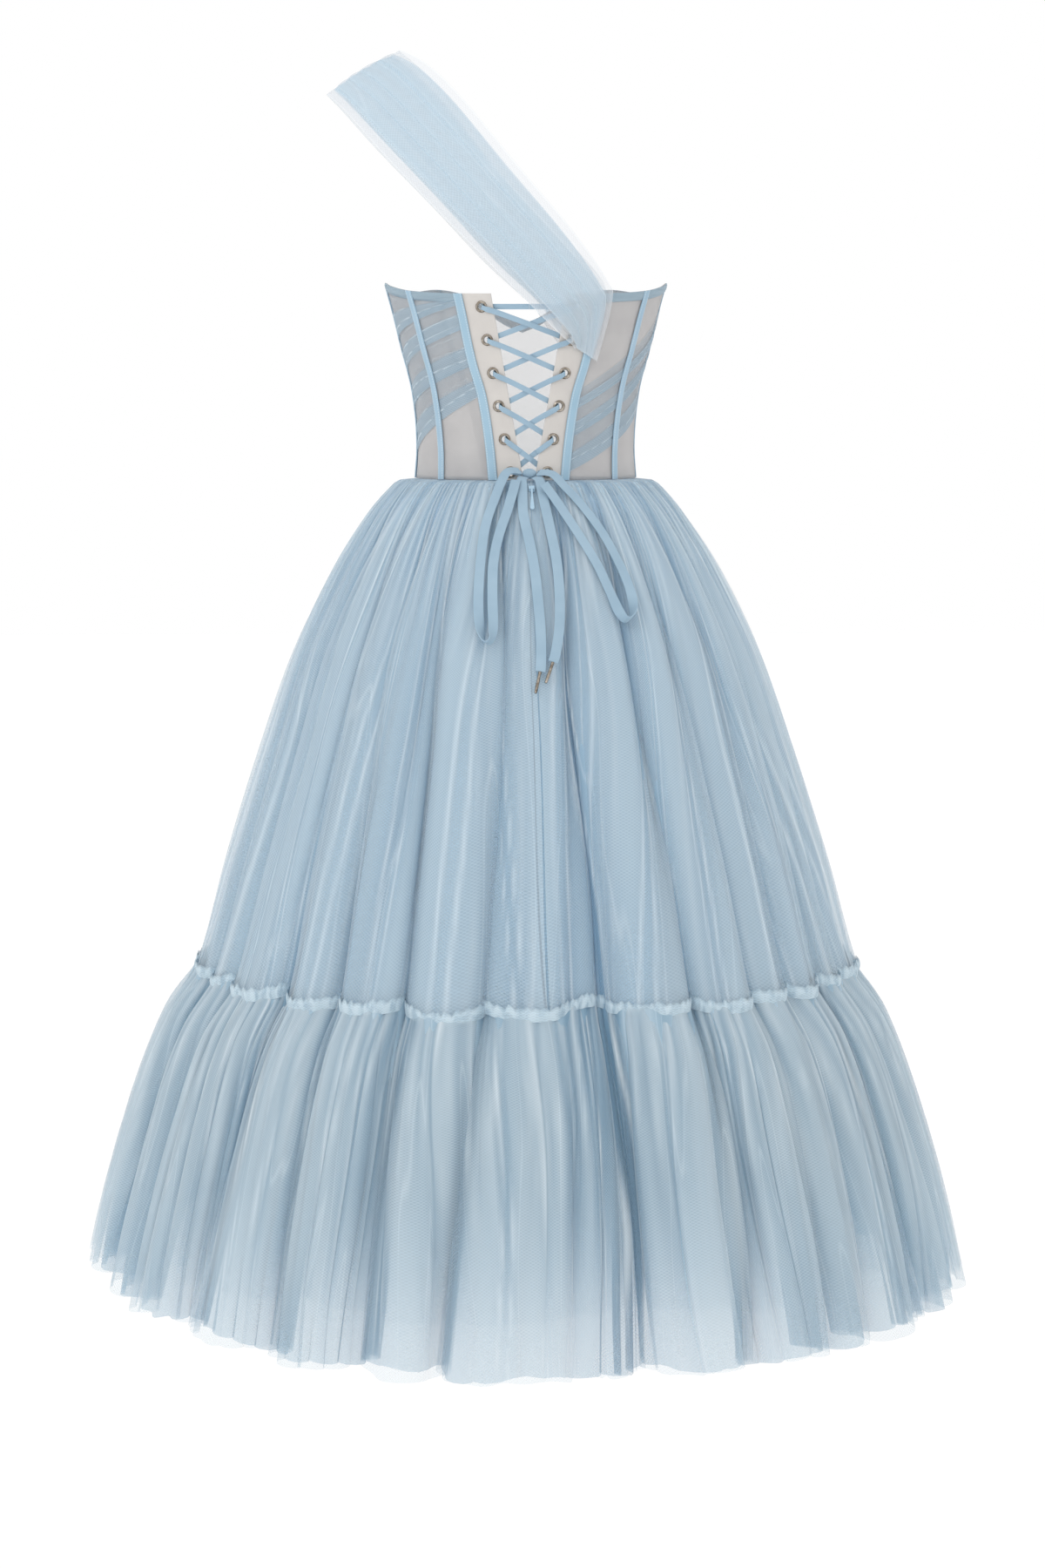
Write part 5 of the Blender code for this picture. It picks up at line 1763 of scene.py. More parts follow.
    def build_tapes(self, side: Side) -> None:
        """The boning tapes of one side.

        Args:
            side: Which side.
        """
        form = self.form
        kinds = (("inner", form.back_seam, 1.0), ("outer", form.side_back_seam, self.narrow),
                 ("side", form.side_seam, self.narrow), ("cup", form.cup_seam, self.narrow))
        for kind, seam, share_of_width in kinds:
            width = self.tape_width * share_of_width
            spot = form.between(form.seam(seam, side, -width / 2), form.seam(seam, side, width / 2))
            piece = self.lay(f"boning_{kind}_{side.label}", spot, 8, 60,
                             lambda share, rise: self.tape_level + 1.0 * MM * math.sin(math.pi * share) ** 0.6
                             + 0.12 * MM * stir(share * 2, rise * 30, 7.0), (width, self.tape_length))
            thicken(piece, self.tape_thickness, bevel=0.25 * MM)
            material = self.wardrobe.tape if share_of_width == 1.0 else self.wardrobe.narrow_tape
            carry(piece, Slot.TAPE, material, f"tape_{kind}_{side.label}")
            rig.sheet(piece, flat=(width + self.turned_in, self.tape_length), held="stretched",
                     rests_on=[f"panel_back_{side.label}"])

    def binding_level(self, share: float, rise: float) -> float:
        """Height of the folded binding off the cloth.

        Args:
            share: Share of the way round.
            rise: Share of the way up.

        Returns:
            The height.
        """
        crease = 0.25 * MM * math.sin(rise * 26.0 + 2.0 * stir(share * 9.0, rise, 2.0))
        return 1.0 * MM + 1.0 * MM * math.sin(math.pi * rise) ** 0.7 + crease

    def build_bindings(self) -> None:
        """The pleated tulle binding along the top edge, in three lengths."""
        form = self.form

        def low(turn: float) -> float:
            return form.top_edge(turn) - self.binding_height

        lengths = []
        for side in Side:
            inner = form.seam(form.back_seam, side, side.value * self.placket_clear)
            outer = lambda _height, side=side: side.value * self.binding_start
            lengths.append((f"binding_back_{side.label}", inner, outer, 70, 0.15))
        front = self.binding_start + self.binding_gap
        lengths.append(("binding_front", lambda _height: front, lambda _height: TURN - front, 150, 0.33))
        for node, first, last, columns, length in lengths:
            spot = form.between(first, last, low)
            piece = self.lay(f"folded_{node}", spot, columns, 10, self.binding_level,
                             (length, self.binding_height))
            thicken(piece, 0.8 * MM)
            carry(piece, Slot.TULLE, self.wardrobe.binding, node)
            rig.sheet(piece, flat=(length, self.binding_flat), held="folded", rests_on=["panel_centre_front"])

    def build_drape(self, drape: Drape, order: int) -> None:
        """One diagonal band of pleated tulle, which laps the next one up.

        Args:
            drape: The band.
            order: Its place on its side, from below.
        """
        start = self.form.seam(self.form.back_seam, drape.side, drape.side.value * self.placket_clear)
        end = math.radians(drape.side_turn)

        def spot(share: float, rise: float) -> Vector:
            low = drape.back_low + share * (drape.side_low - drape.back_low)
            high = drape.back_high + share * (drape.side_high - drape.back_high)
            height = low + rise * self.lap * (high - low)
            turn = start(height)
            turn += share * (end - turn)
            return Vector((turn, min(height, self.form.top_edge(turn) - 4.0 * MM), 0.0))

        def level(share: float, rise: float) -> float:
            crest = (1 - self.pleat_share(share, rise, order)) ** 1.5
            return 0.5 * MM + 0.3 * MM * order + 0.7 * MM * crest

        def tone(share: float, rise: float) -> Triple:
            # Painted pleat shading, darker at each pleat's folded edge; painted highlight lines at that edge and along
            # the top; lighter and fuller on the doubled lower half.
            ramp = self.pleat_share(share, rise, order)
            doubled = 1 - ease(0.44, 0.56, rise)
            line = bell(ramp, 0.0, 0.07) + 0.8 * bell(rise, 0.985, 0.02)
            return 0.15 + 0.35 * ramp + 0.5 * doubled, min(1.0, line), 0.5 + 0.5 * doubled

        label = f"{drape.name}_{drape.side.label}"
        piece = self.lay(f"draped_{label}", spot, 44, 36, level, self.drape_cut, tone)
        nodes = [] if drape.name == "top" else [f"drape_{label}"]
        carry(piece, Slot.TULLE, self.wardrobe.drape, *nodes)
        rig.sheet(piece, flat=self.drape_cut, held="folded", rests_on=[f"panel_back_{drape.side.label}"])

    @staticmethod
    def pleat_share(share: float, rise: float, order: int) -> float:
        """Share of the way across one pleat of a drape.

        Args:
            share: Share of the way round.
            rise: Share of the way up.
            order: Which band.

        Returns:
            The share, 0 at the pleat's folded edge.
        """
        count = 3.2 * rise + 0.5 * math.sin(1.7 * share + 2.1 * order)
        return count - math.floor(count)


# The hardware


@dataclass
class Eyelets:
    """Twelve clinched eyelets."""

    form: BodiceForm
    wardrobe: Wardrobe
    per_side: ClassVar[int] = 6
    top: ClassVar[float] = 0.174
    pitch: ClassVar[float] = 0.0332
    inset: ClassVar[float] = 11.7 * MM
    start: ClassVar[Pair] = (3.4, -2.2)
    profile: ClassVar[tuple[Pair, ...]] = (
        (3.4, -1.9), (3.4, 1.1), (3.55, 1.55), (4.0, 1.9), (4.7, 1.95), (5.4, 1.65), (5.85, 1.2),
        (6.0, 0.9), (4.0, 0.85), (4.0, -1.45), (5.9, -1.5), (6.0, -1.9), (5.2, -2.4), (4.2, -2.5))

    @classmethod
    def frame_at(cls, form: BodiceForm, side: Side, row: int) -> Matrix:
        """Frame of an eyelet.

        Args:
            form: The bodice's surface.
            side: Which side.
            row: Its row from the top.

        Returns:
            A matrix: X towards the lacing gap, Z out of the cloth.
        """
        height = cls.top - row * cls.pitch
        turn = form.turn_at(side.value * (form.half_gap(height) + cls.inset), height)
        round_step = form.point(turn + 0.02, height) - form.point(turn - 0.02, height)
        up_step = form.point(turn, height + 0.004) - form.point(turn, height - 0.004)
        outward = round_step.cross(up_step).normalized()
        to_gap = (round_step * -side.value).normalized()
        frame = Matrix((to_gap, outward.cross(to_gap), outward)).transposed().to_4x4()
        frame.translation = form.point(turn, height)
        return frame

    def model(self) -> Piece:
        """One eyelet at the origin: a turned ring with domed flanges and a barrel.

        Returns:
            The eyelet.
        """
        deselect_all()
        radius, level = self.start
        bpy.ops.mesh.primitive_circle_add(vertices=40, radius=radius * MM, location=(0, 0, level * MM))
        ring = take_new("eyelet_pattern")
        bpy.ops.object.mode_set(mode="EDIT")
        bpy.ops.mesh.select_all(action="SELECT")
        for wide, high in self.profile:
            bpy.ops.mesh.extrude_region_move(TRANSFORM_OT_translate={"value": (0, 0, (high - level) * MM)})
            factor = wide / radius
            bpy.ops.transform.resize(value=(factor, factor, 1.0), center_override=(0, 0, 0))
            radius, level = wide, high
        bpy.ops.mesh.select_all(action="SELECT")
        bpy.ops.object.mode_set(mode="OBJECT")
        with editing(ring) as edit:
            ends = [edge for edge in edit.edges if edge.is_boundary]
            bmesh.ops.bridge_loops(edit, edges=ends)
            bmesh.ops.recalc_face_normals(edit, faces=edit.faces)
        bpy.ops.object.shade_smooth_by_angle(angle=math.radians(50))
        return ring

    def build(self) -> None:
        """Copy the eyelet to its twelve places."""
        pattern = self.model()
        for side in Side:
            for row in range(self.per_side):
                mesh = pattern.data.copy()
                mesh.transform(pattern.matrix_world)
                mesh.transform(self.frame_at(self.form, side, row))
                piece = add_object(f"ring_{side.label}_{row + 1}", mesh)
                carry(piece, Slot.METAL, self.wardrobe.metal, f"eyelet_{side.label}_{row + 1}")
        bpy.data.objects.remove(pattern)


# The lace


@dataclass(frozen=True)
class Pass:
    """A place on the bow's route over the skirt, and the tape's roll in degrees."""

    side: float
    height: float
    lift: float
    roll: float


def bow_route(*rows: tuple[float, float, float, float]) -> tuple[Pass, ...]:
    """The passes of one strand, from rows of millimetres and degrees."""
    return tuple(Pass(side * MM, height * MM, lift * MM, roll) for side, height, lift, roll in rows)


LEFT_LOOP = bow_route(
    (-8.8, 9.4, 8.5, 0), (-20.0, 8.2, 19.0, 0), (-34.0, -15.0, 3.0, 0), (-45.0, -44.0, 2.2, 0),
    (-50.5, -78.0, 2.0, 0), (-53.0, -109.0, 2.4, 0), (-52.5, -135.0, 3.6, 25), (-49.0, -151.0, 6.0, 70),
    (-44.5, -154.5, 6.4, 90), (-40.5, -150.5, 6.0, 110), (-39.0, -138.0, 3.8, 155),
    (-39.5, -109.0, 2.4, 180), (-38.0, -78.0, 2.0, 180), (-32.0, -52.0, 2.0, 180),
    (-23.2, -29.0, 3.4, 180), (-17.2, -12.0, 7.0, 180), (-11.8, 1.2, 20.8, 180),
)
RIGHT_LOOP = bow_route(
    (8.3, 8.0, 8.5, 180), (19.5, 6.8, 19.0, 180), (33.0, -5.5, 8.0, 180), (50.0, -23.0, 3.0, 180),
    (70.0, -50.0, 2.2, 180), (85.0, -78.0, 2.0, 180), (95.0, -103.0, 3.0, 170),
    (97.5, -122.0, 5.0, 120), (94.0, -132.0, 6.4, 90), (88.5, -133.0, 6.2, 75), (83.0, -125.0, 4.2, 35),
    (77.0, -110.0, 2.6, 0), (64.0, -81.0, 2.2, 0), (49.0, -56.0, 3.0, 0), (34.0, -33.0, 4.8, 0),
    (22.0, -15.0, 6.2, 0), (12.0, -2.0, 16.5, 0),
)
LEFT_TAIL = bow_route(
    (-5.3, 3.6, 10.7, 0), (-7.0, 1.2, 18.0, 0), (-7.5, -6.5, 2.2, 0), (-7.8, -18.0, 1.8, 0),
    (-7.2, -34.0, 1.6, 0), (-2.0, -60.0, 1.6, 0), (2.0, -85.0, 1.6, 0), (5.0, -117.0, 1.6, 0),
    (6.8, -149.0, 1.6, 0), (6.4, -175.0, 1.8, 0), (5.4, -182.0, 2.2, 0),
)
RIGHT_TAIL = bow_route(
    (5.7, 3.6, 10.7, 0), (8.2, 1.2, 18.0, 0), (11.2, -6.5, 2.4, 0), (13.8, -22.0, 1.8, 0),
    (19.0, -49.0, 1.8, 0), (24.0, -78.0, 1.8, 0), (26.0, -109.0, 1.8, 0), (25.0, -140.0, 1.8, 0),
    (21.0, -164.0, 1.8, 0), (18.2, -173.0, 1.8, 0),
)


@dataclass
class Lace:
    """The flat lace: the lacing through the eyelets, the knot and the bow."""

    bodice: BodiceForm
    skirt: SkirtForm
    wardrobe: Wardrobe
    thickness: float = 1.2 * MM
    lacing_width: float = 5.4 * MM
    width_in_eyelet: float = 4.4 * MM
    bow_width: float = 10.0 * MM
    cloth_back: float = 1.2 * MM
    placket_proud: float = 0.6 * MM
    lacing_clear: float = 2.4 * MM
    over: tuple[float, ...] = (1.6 * MM, 1.4 * MM, 1.4 * MM, 0.9 * MM, -2.3 * MM)
    under: tuple[float, ...] = (1.6 * MM, -0.6 * MM, -1.3 * MM, -1.6 * MM, -2.3 * MM)
    hold: float = 4.9 * MM
    leaves: float = 15.8 * MM
    dives: float = 12.9 * MM
    knot: Vector = field(default_factory=lambda: Vector((0.0, -0.0958, 0.0068)))
    knot_size: Vector = field(default_factory=lambda: Vector((15.0, 10.5, 10.5)) * MM)
    aglet_length: float = 23.0 * MM
    aglet_radius: float = 1.7 * MM
    aglet_cuts: tuple[float, ...] = (-0.72, -0.6, 0.35, 0.8)
    aglet_taper: float = 0.2
    crimp_at: float = -0.66
    crimp_reach: float = 0.08
    crimp_slim: float = 0.86
    loop_lengths: Pair = (0.427, 0.385)
    tail_lengths: Pair = (0.237, 0.227)

    def tape(self, name: str, route: Sequence[Vector], sides: Sequence[Vector], widths: Sequence[float]
             ) -> Piece:
        """A flat tape along a route.

        Args:
            name: The piece's name.
            route: Close points on its centreline.
            sides: Directions of its width at them.
            widths: Its widths at them.

        Returns:
            The tape, a closed piece with soft edges.
        """
        last = len(route) - 1
        squared, normals = [], []
        for i, side in enumerate(sides):
            forward = (route[min(i + 1, last)] - route[max(i - 1, 0)]).normalized()
            across = (side - forward * side.dot(forward)).normalized()
            if squared and across.dot(squared[-1]) < 0:
                across = -across
            squared.append(across)
            normals.append(across.cross(forward).normalized())
        length = sum((b - a).length for a, b in zip(route, route[1:]))

        def place(share: float, rise: float) -> Vector:
            i = round(rise * last)
            crown = 0.18 * MM * math.cos(math.pi * (share - 0.5))
            return route[i] + squared[i] * (share - 0.5) * widths[i] + normals[i] * crown

        piece = cloth(name, 6, last, place, (widths[-1], length))
        thicken(piece, self.thickness * 0.85, offset=0.0, bevel=0.3 * MM)
        return piece

    def lacing_route(self, start: Side) -> list[tuple[Vector, Vector, float]]:
        """Route of one half of the lacing, from the bar at the top to the knot.

        Args:
            start: The side of its first eyelet.

        Returns:
            Rows of place, direction of the tape's width, and width.
        """
        form = self.bodice
        under, over = -self.cloth_back - self.lacing_clear, self.placket_proud + self.lacing_clear
        bar_height = Eyelets.frame_at(form, start, 0).translation.z

        def on_surface(side: float, height: float, out: float) -> Vector:
            return form.point(form.turn_at(side, height), height, out)

        upright = Vector((0, 0, 1))
        middle = on_surface(start.value * 0.15 * MM, bar_height, -1.0 * MM)
        edge = on_surface(start.value * 0.030, bar_height, -2.4 * MM)
        route = [(middle, upright, self.lacing_width), (edge, upright, self.lacing_width)]
        arrive_from = edge
        for row in range(Eyelets.per_side):
            sign = start.value * (-1) ** row
            side, other = Side(sign), Side(-sign)
            frame = Eyelets.frame_at(form, side, row)
            centre, outward = frame.translation, frame.col[2].to_3d()
            last_row = row == Eyelets.per_side - 1
            target = self.knot if last_row else Eyelets.frame_at(form, other, row + 1).translation
            came, goes = arrive_from - centre, target - centre
            came = (came - outward * came.dot(outward)).normalized()
            goes = (goes - outward * goes.dot(outward)).normalized()
            through = (came + goes).normalized()
            wide_in, wide_out = came.cross(outward), goes.cross(outward)
            wide_mid = through.cross(outward)
            if wide_in.dot(wide_mid) < 0:
                wide_in = -wide_in
            thin, full = self.width_in_eyelet, self.lacing_width
            route += [
                (centre + came * 6.8 * MM + outward * under, wide_in, full),
                (centre + came * 3.8 * MM + outward * under, wide_in, thin),
                (centre + came * 1.2 * MM + outward * (under + 0.6 * MM), wide_mid, thin),
                (centre + through * 0.4 * MM + outward * (under + 2.3 * MM), wide_mid, thin),
                (centre + through * 0.4 * MM + outward * 0.4 * MM, wide_mid, thin),
                (centre + goes * 1.2 * MM + outward * (over - 0.6 * MM), wide_mid, thin),
                (centre + goes * 3.8 * MM + outward * over, wide_out, thin),
                (centre + goes * 6.8 * MM + outward * over, wide_out, full),
            ]
            if last_row:
                rest = self.knot + Vector((side.value * (self.knot_size.x / 2 + 0.9 * MM), 0.0, 0.0))
                route.append((rest, upright, full))
                continue
            heading = target - centre
            arrive_from = centre + heading * 0.5
            span = abs(heading.x)
            stops = (self.leaves, span / 2 - self.hold, span / 2, span / 2 + self.hold, span - self.dives)
            for stop, out in zip(stops, self.over if side is Side.LEFT else self.under):
                spot = centre + heading * (stop / span)
                route.append((on_surface(spot.x, spot.z, out), heading.cross(outward).normalized(), full))
        return route

    def build_lacing(self) -> None:
        """The two halves of the lacing."""
        for side in Side:
            rows = self.lacing_route(side)
            points = [row[0] for row in rows]
            sides = [row[1] for row in rows]
            for i in range(1, len(sides)):
                if sides[i].dot(sides[i - 1]) < 0:
                    sides[i] = -sides[i]
            fine, fine_sides, widths = [], [], []
            for i in range(3 * (len(rows) - 1) + 1):
                where = i / 3
                first = min(int(where), len(rows) - 2)
                share = where - first
                fine.append(smooth(points, where))
                fine_sides.append(sides[first].lerp(sides[first + 1], share))
                widths.append(rows[first][2] + share * (rows[first + 1][2] - rows[first][2]))
            piece = self.tape(f"lacing_tape_{side.label}", fine, fine_sides, widths)
            carry(piece, Slot.LACE, self.wardrobe.lace, f"lacing_{side.label}")

    def strand(self, name: str, passes: Sequence[Pass]) -> tuple[Piece, list[Vector]]:
        """One free strand of the bow, laid over the skirt.

        Args:
            name: The piece's name.
            passes: Its route.

        Returns:
            The tape and the points of its centreline.
        """
        points = [self.skirt.over(one.side, one.height, one.lift) for one in passes]
        rolls = [math.radians(one.roll) for one in passes]
        fine, sides = [], []
        per_pass = 8
        for i in range(per_pass * (len(points) - 1) + 1):
            where = i / per_pass
            place = smooth(points, where)
            low, high = max(where - 0.1, 0.0), min(where + 0.1, len(points) - 1.0)
            forward = (smooth(points, high) - smooth(points, low)).normalized()
            normal = self.skirt.normal_at(place)
            outward = (normal - forward * normal.dot(forward)).normalized()
            first = min(int(where), len(rolls) - 2)
            roll = rolls[first] + (where - first) * (rolls[first + 1] - rolls[first])
            fine.append(place)
            sides.append(forward.cross(outward) * math.cos(roll) + outward * math.sin(roll))
        return self.tape(name, fine, sides, [self.bow_width] * len(fine)), fine

    def build_knot(self) -> Piece:
        """The knot: a ball shaped into two wraps of the tape.

        Returns:
            The knot.
        """
        deselect_all()
        bpy.ops.mesh.primitive_uv_sphere_add(segments=48, ring_count=32, radius=0.5)
        knot = take_new("bow_knot")
        for vertex in knot.data.vertices:
            way = vertex.co.normalized()
            wrap = math.cos(9.0 * way.x + 3.0 * way.z)
            vertex.co = way * (0.5 - 0.035 * (1 - abs(wrap)) ** 2 - 0.02 * abs(way.y) ** 6)
        knot.data.transform(Matrix.Translation(self.knot) @ Matrix.Diagonal(self.knot_size.to_4d()))
        select_only(knot)
        bpy.ops.object.shade_smooth()
        carry(knot, Slot.LACE, self.wardrobe.lace, "knot")
        return knot

    def build_aglet(self, side: Side, end: Vector, heading: Vector) -> Piece:
        """A crimped metal tip with a rounded end.

        Args:
            side: Which tail it is on.
            end: Where the tail ends.
            heading: The tail's direction there.

        Returns:
            The aglet.
        """
        deselect_all()
        bpy.ops.mesh.primitive_cylinder_add(vertices=28, radius=self.aglet_radius, depth=self.aglet_length,
                                            end_fill_type="NGON")
        tip = take_new(f"metal_tip_{side.label}")
        bpy.ops.object.mode_set(mode="EDIT")
        bpy.ops.mesh.select_all(action="SELECT")
        bpy.ops.mesh.bevel(offset=0.5 * MM, segments=3, affect="EDGES")
        bpy.ops.object.mode_set(mode="OBJECT")
        half = self.aglet_length / 2
        with editing(tip) as edit:
            for cut in self.aglet_cuts:
                bmesh.ops.bisect_plane(edit, geom=edit.verts[:] + edit.edges[:] + edit.faces[:],
                                       plane_co=(0, 0, cut * half), plane_no=(0, 0, 1))
            for vertex in edit.verts:
                rise = vertex.co.z / half
                slim = 1.0 - self.aglet_taper * max(0.0, rise)
                if abs(rise - self.crimp_at) < self.crimp_reach:
                    slim *= self.crimp_slim
                vertex.co.x *= slim
                vertex.co.y *= slim
        turned = heading.to_track_quat("Z", "Y").to_matrix().to_4x4()
        centre = end + heading * (half + 0.3 * MM)
        tip.data.transform(Matrix.Translation(centre) @ turned)
        bpy.ops.object.shade_smooth_by_angle(angle=math.radians(40))
        carry(tip, Slot.METAL, self.wardrobe.metal, f"aglet_{side.label}")
        return tip

    def build(self) -> None:
        """Build the lacing, the knot, the loops and the tails."""
        self.build_lacing()
        self.build_knot()
        routes = ((Side.LEFT, LEFT_LOOP, LEFT_TAIL), (Side.RIGHT, RIGHT_LOOP, RIGHT_TAIL))
        for (side, loop_passes, tail_passes), loop_length, tail_length in zip(
                routes, self.loop_lengths, self.tail_lengths):
            loop, line = self.strand(f"loop_{side.label}", loop_passes)
            carry(loop, Slot.LACE, self.wardrobe.lace, f"bow_loop_{side.label}")
            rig.cord(loop, exit=line[0], length=loop_length, diameter=self.bow_width, far_end="object",
                    stiffness="limp", lay="hanging", path=line)
            tail, line = self.strand(f"hanging_tail_{side.label}", tail_passes)
            carry(tail, Slot.LACE, self.wardrobe.lace, f"tail_{side.label}")
            tip = self.build_aglet(side, line[-1], (line[-1] - line[-3]).normalized())
            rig.cord(tail, exit=line[0], length=tail_length, diameter=self.bow_width, far_end="fitting",
                    stiffness="limp", lay="hanging", path=line, with_pieces=[tip])


# The strap


@dataclass
class Strap:
    """The gathered tulle strap over the left shoulder."""

    form: BodiceForm
    wardrobe: Wardrobe
    middle: Vector = field(default_factory=lambda: Vector((-0.09, 0.0, 0.20)))
    flat: Pair = (0.11, 0.86)
    core_flat: Pair = (0.085, 0.86)
    stations: tuple[tuple[Triple, Triple, float], ...] = (
        ((0.046, -0.09, 0.134), (0.067, -0.0808, 0.12), 0.000),
        ((0.0318, -0.0985, 0.1456), (0.0821, -0.0835, 0.179), 0.001),
        ((0.0053, -0.1035, 0.172), (0.0759, -0.0895, 0.2013), 0.003),
        ((-0.0389, -0.104, 0.217), (0.0406, -0.103, 0.2507), 0.003),
        ((-0.0919, -0.093, 0.27), (-0.0124, -0.1, 0.3134), 0.004),
        ((-0.1459, -0.062, 0.327), (-0.0658, -0.07, 0.3797), 0.005),
        ((-0.183, -0.033, 0.37), (-0.101, -0.04, 0.416), 0.005),
        ((-0.202, -0.003, 0.388), (-0.128, -0.006, 0.432), 0.004),
        ((-0.187, 0.033, 0.375), (-0.107, 0.04, 0.418), 0.004),
        ((-0.149, 0.062, 0.334), (-0.071, 0.07, 0.385), 0.004),
        ((-0.095, 0.09, 0.279), (-0.018, 0.098, 0.319), 0.003),
        ((-0.041, 0.108, 0.222), (0.037, 0.108, 0.256), 0.002),
    )
    landings: tuple[tuple[float, float, float, float, float], ...] = (
        (177.0, 0.178, 149.0, 0.209, 0.0072), (171.0, 0.16, 144.0, 0.19, 0.006),
        (165.0, 0.142, 141.0, 0.17, 0.006), (162.8, 0.136, 144.6, 0.145, 0.0064),
        (160.0, 0.13, 150.0, 0.118, 0.006),
    )
    shares: tuple[float, ...] = (0.0, 0.25, 0.5, 0.75, 1.0)
    ripple: float = 0.9 * MM
    lean: float = 1.4 * MM
    step: float = 0.02

    def lines(self) -> list[list[Vector]]:
        """The strap's lines from end to end, from its outer edge to its inner one."""
        rows = []
        for outer, inner, crown in self.stations:
            row = []
            for share in self.shares:
                flat = Vector(outer).lerp(Vector(inner), share)
                away = (flat - self.middle).normalized()
                row.append(flat + away * crown * 4 * share * (1 - share))
            rows.append(row)
        for outer_turn, outer_height, inner_turn, inner_height, lift in self.landings:
            rows.append([self.form.point(math.radians(outer_turn + share * (inner_turn - outer_turn)),
                                         outer_height + share * (inner_height - outer_height), lift)
                         for share in self.shares])
        return [list(line) for line in zip(*rows)]

    def layer(self, name: str, first: float, last: float, level: float, pleats: float, seed: float,
              columns: int) -> Piece:
        """One layer of the strap.

        Args:
            name: The piece's name.
            first: Share across where it starts.
            last: Share across where it ends.
            level: Its height over the strap's inner face.
            pleats: Number of lengthwise pleats.
            seed: Chooses its unevenness.
            columns: Faces across.

        Returns:
            The layer.
        """
        lines = self.lines()
        last_row = len(lines[0]) - 1

        def surface(share: float, where: float) -> Vector:
            return smooth([smooth(line, where) for line in lines], share * (len(lines) - 1))

        def pleat_phase(share: float, rise: float) -> float:
            wander = 0.55 * stir(seed, rise * 3.5, share * 2.5)
            return TURN * (pleats * share + wander)

        def place(share: float, rise: float) -> Vector:
            where = rise * last_row
            across = first + share * (last - first)
            across += 0.012 * stir(seed + 5.0, rise * 16.0, 0.0) * (1 - 2 * abs(share - 0.5))
            low, high = max(across - self.step, 0.0), min(across + self.step, 1.0)
            before, after = max(where - self.step, 0.0), min(where + self.step, last_row)
            side = surface(high, where) - surface(low, where)
            forward = surface(across, after) - surface(across, before)
            normal = side.cross(forward).normalized()
            point = surface(across, where)
            if normal.dot(point - self.middle) < 0:
                normal = -normal
            phase = pleat_phase(share, rise)
            ripple = self.ripple * (1 + math.cos(phase)) / 2
            lean = side.normalized() * self.lean * math.sin(phase)
            return point + normal * (level + ripple) + lean

        def tone(share: float, rise: float) -> Triple:
            # Painted pleat shading, lighter on the crests, with painted highlight lines on the pleats' sides and along
            # the strap's two edges.
            from_crest = abs(math.remainder(pleat_phase(share, rise), TURN))
            edge = min(share, 1 - share)
            line = 0.35 * bell(from_crest, 2.1, 0.30) + bell(edge, 0.0, 0.012)
            return 0.55 + 0.22 * math.cos(from_crest), min(1.0, line), 1.0

        piece = cloth(name, columns, 170, place, self.flat, tone)
        face_out(piece, self.middle)
        return piece

    def build(self) -> None:
        """Build the strap's two layers."""
        outer = self.layer("strap_outer", 0.0, 1.0, 1.3 * MM, 5.0, 3.0, 120)
        carry(outer, Slot.TULLE, self.wardrobe.strap, "strap")
        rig.sheet(outer, flat=self.flat, held="gathered", rests_on=["panel_cup_right", "placket_right"])
        core = self.layer("strap_core", 0.13, 0.90, 0.1 * MM, 4.0, 13.0, 90)
        carry(core, Slot.TULLE, self.wardrobe.strap_core)
        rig.sheet(core, flat=self.core_flat, held="gathered", rests_on=["strap"])


# The zip


@dataclass
class Zip:
    """The zip's slider and pull tab, whose CAD shapes stay."""

    wardrobe: Wardrobe

    def build(self, nodes: dict[str, Piece]) -> None:
        """Paint both.

        Args:
            nodes: The frame's CAD nodes by name.
        """
        for name in ("zip_slider", "zip_pull"):
            mesh = nodes[name].data
            for i in range(len(mesh.materials)):
                mesh.materials[i] = self.wardrobe.paint
            LOG.info("%s painted", name)


# The studio


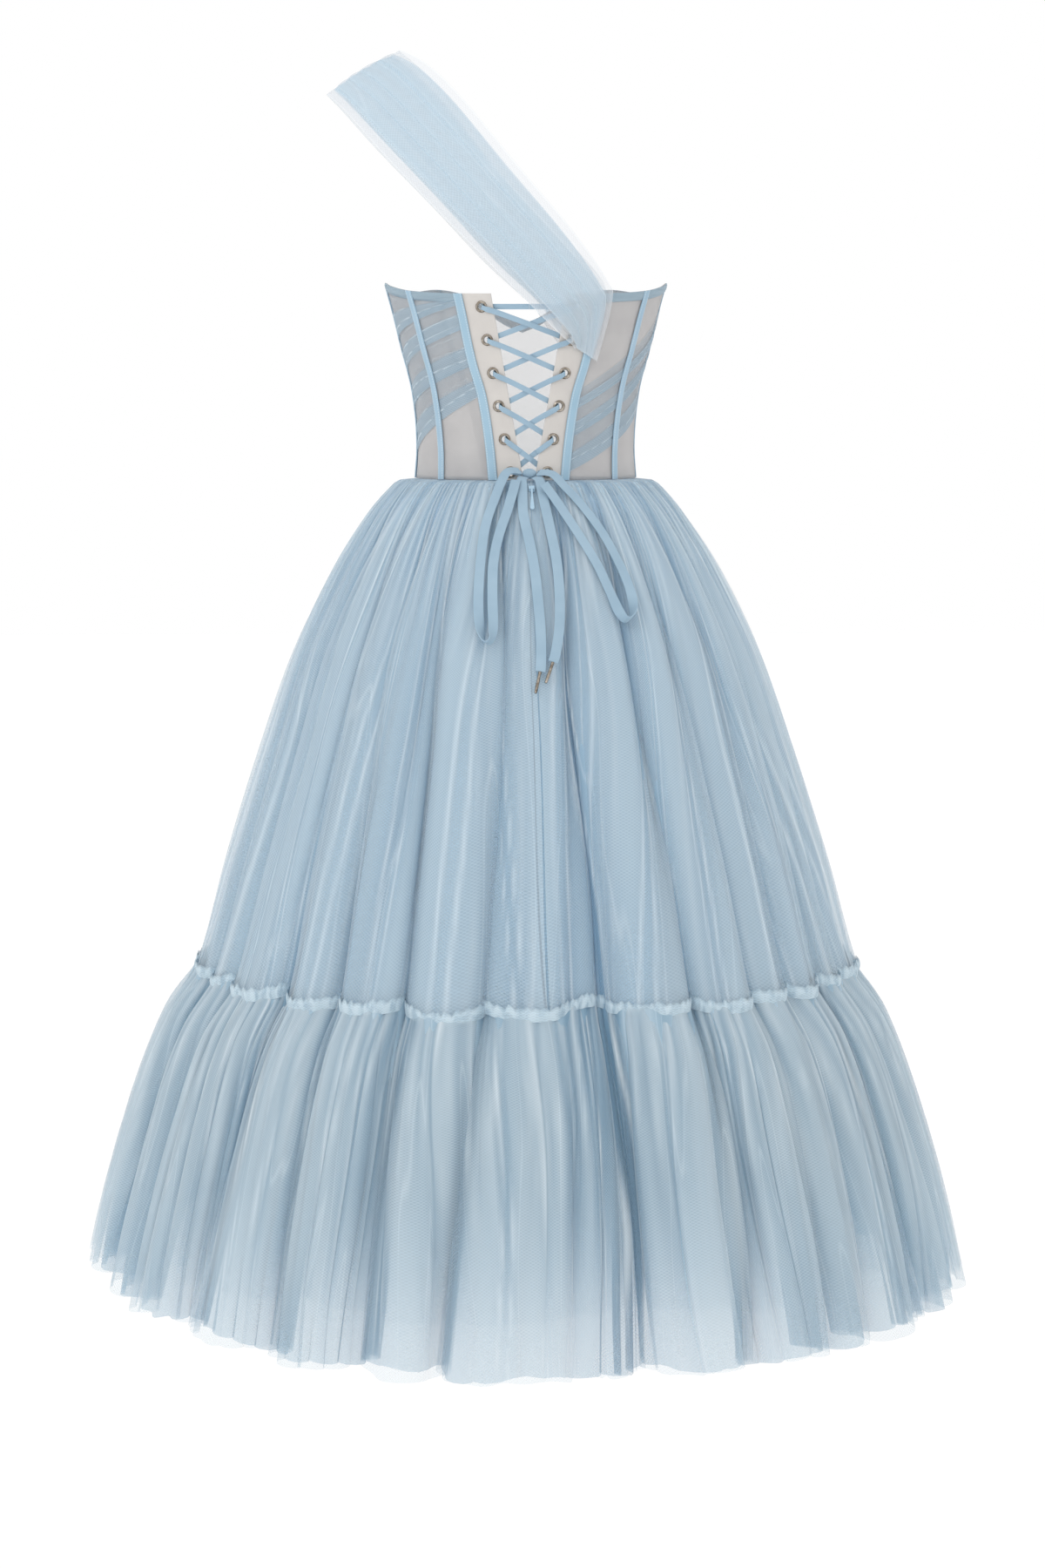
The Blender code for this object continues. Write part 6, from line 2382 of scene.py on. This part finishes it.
@dataclass
class Studio:
    """Camera, one light and a pale floor in a white surround."""

    distance: float = 4.2
    eye_height: float = 0.124
    pitch: float = math.radians(6.0)
    yaw: float = math.radians(-2.0)
    aim: float = math.radians(0.049)
    lens: float = 93.34
    sensor: float = 36.0
    far: float = 60.0
    key_place: Triple = (-2.6, -3.4, 2.6)
    key_aim: Triple = (0.0, 0.0, -0.25)
    key_size: float = 2.2
    key_power: float = 34.0
    layers_seen: int = 96
    floor_height: float = -2.2
    floor_size: float = 60.0
    floor_colour: Colour = (0.96, 0.96, 0.96)
    floor_glow: float = 0.06

    def build(self) -> None:
        """Build the studio."""
        self.build_camera()
        self.build_light()
        self.build_floor()
        scene = bpy.context.scene
        scene.view_settings.view_transform = "Standard"
        scene.view_settings.look = "None"
        scene.cycles.transparent_max_bounces = self.layers_seen

    def build_camera(self) -> None:
        """A long lens behind the dress, a little over the waist, looking down."""
        camera = bpy.data.cameras.new("camera")
        camera.lens = self.lens
        camera.sensor_width = self.sensor
        camera.clip_end = self.far
        holder = add_object("camera", camera)
        holder.location = (self.distance * math.sin(self.yaw), -self.distance * math.cos(self.yaw),
                           self.eye_height)
        holder.rotation_euler = (math.pi / 2 - self.pitch, 0.0, self.yaw + self.aim)
        bpy.context.scene.camera = holder

    def build_floor(self) -> None:
        """A plain pale floor far enough below to take only a faint shadow."""
        deselect_all()
        bpy.ops.mesh.primitive_plane_add(size=self.floor_size, location=(0.0, 0.0, self.floor_height))
        floor = take_new("studio_floor")
        shade = Shade("floor_paint")
        shade.feel(0.9)
        shade.put("Base Color", (*self.floor_colour, 1.0))
        shade.put("Emission Color", (1.0, 1.0, 1.0, 1.0))
        shade.put("Emission Strength", self.floor_glow)
        floor.data.materials.append(shade.material)
        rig.stage(floor)

    def build_light(self) -> None:
        """A white world and one wide soft light."""
        world = bpy.data.worlds.new("studio")
        bpy.context.scene.world = world
        world.use_nodes = True
        sky = world.node_tree.nodes["Background"]
        sky.inputs["Color"].default_value = (1.0, 1.0, 1.0, 1.0)
        sky.inputs["Strength"].default_value = 1.0
        light = bpy.data.lights.new("key", "AREA")
        light.shape = "DISK"
        light.size = self.key_size
        light.energy = self.key_power
        holder = add_object("key", light)
        holder.location = self.key_place
        away = Vector(self.key_place) - Vector(self.key_aim)
        holder.rotation_euler = away.to_track_quat("Z", "Y").to_euler()


def main() -> None:
    """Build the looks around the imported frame."""
    logging.basicConfig(level=logging.INFO, format="%(name)s: %(message)s")
    clear_file()
    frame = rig.load()
    cad_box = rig.bounds()
    deselect_all()
    bodice, skirt = BodiceForm(), SkirtForm()
    wardrobe = Wardrobe(ClothPatterns())
    Studio().build()
    Lace(bodice, skirt, wardrobe).build()
    Skirt(skirt, wardrobe).build()
    Bodice(bodice, wardrobe).build()
    Eyelets(bodice, wardrobe).build()
    Strap(bodice, wardrobe).build()
    Zip(wardrobe).build(frame["nodes"])
    bpy.context.view_layer.update()
    with open(SIZE_FILE, "w", encoding="utf-8") as size_file:
        json.dump({"cad": [list(corner) for corner in cad_box],
                   "visual": [list(corner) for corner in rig.bounds()]}, size_file)


if __name__ == "__main__":
    main()
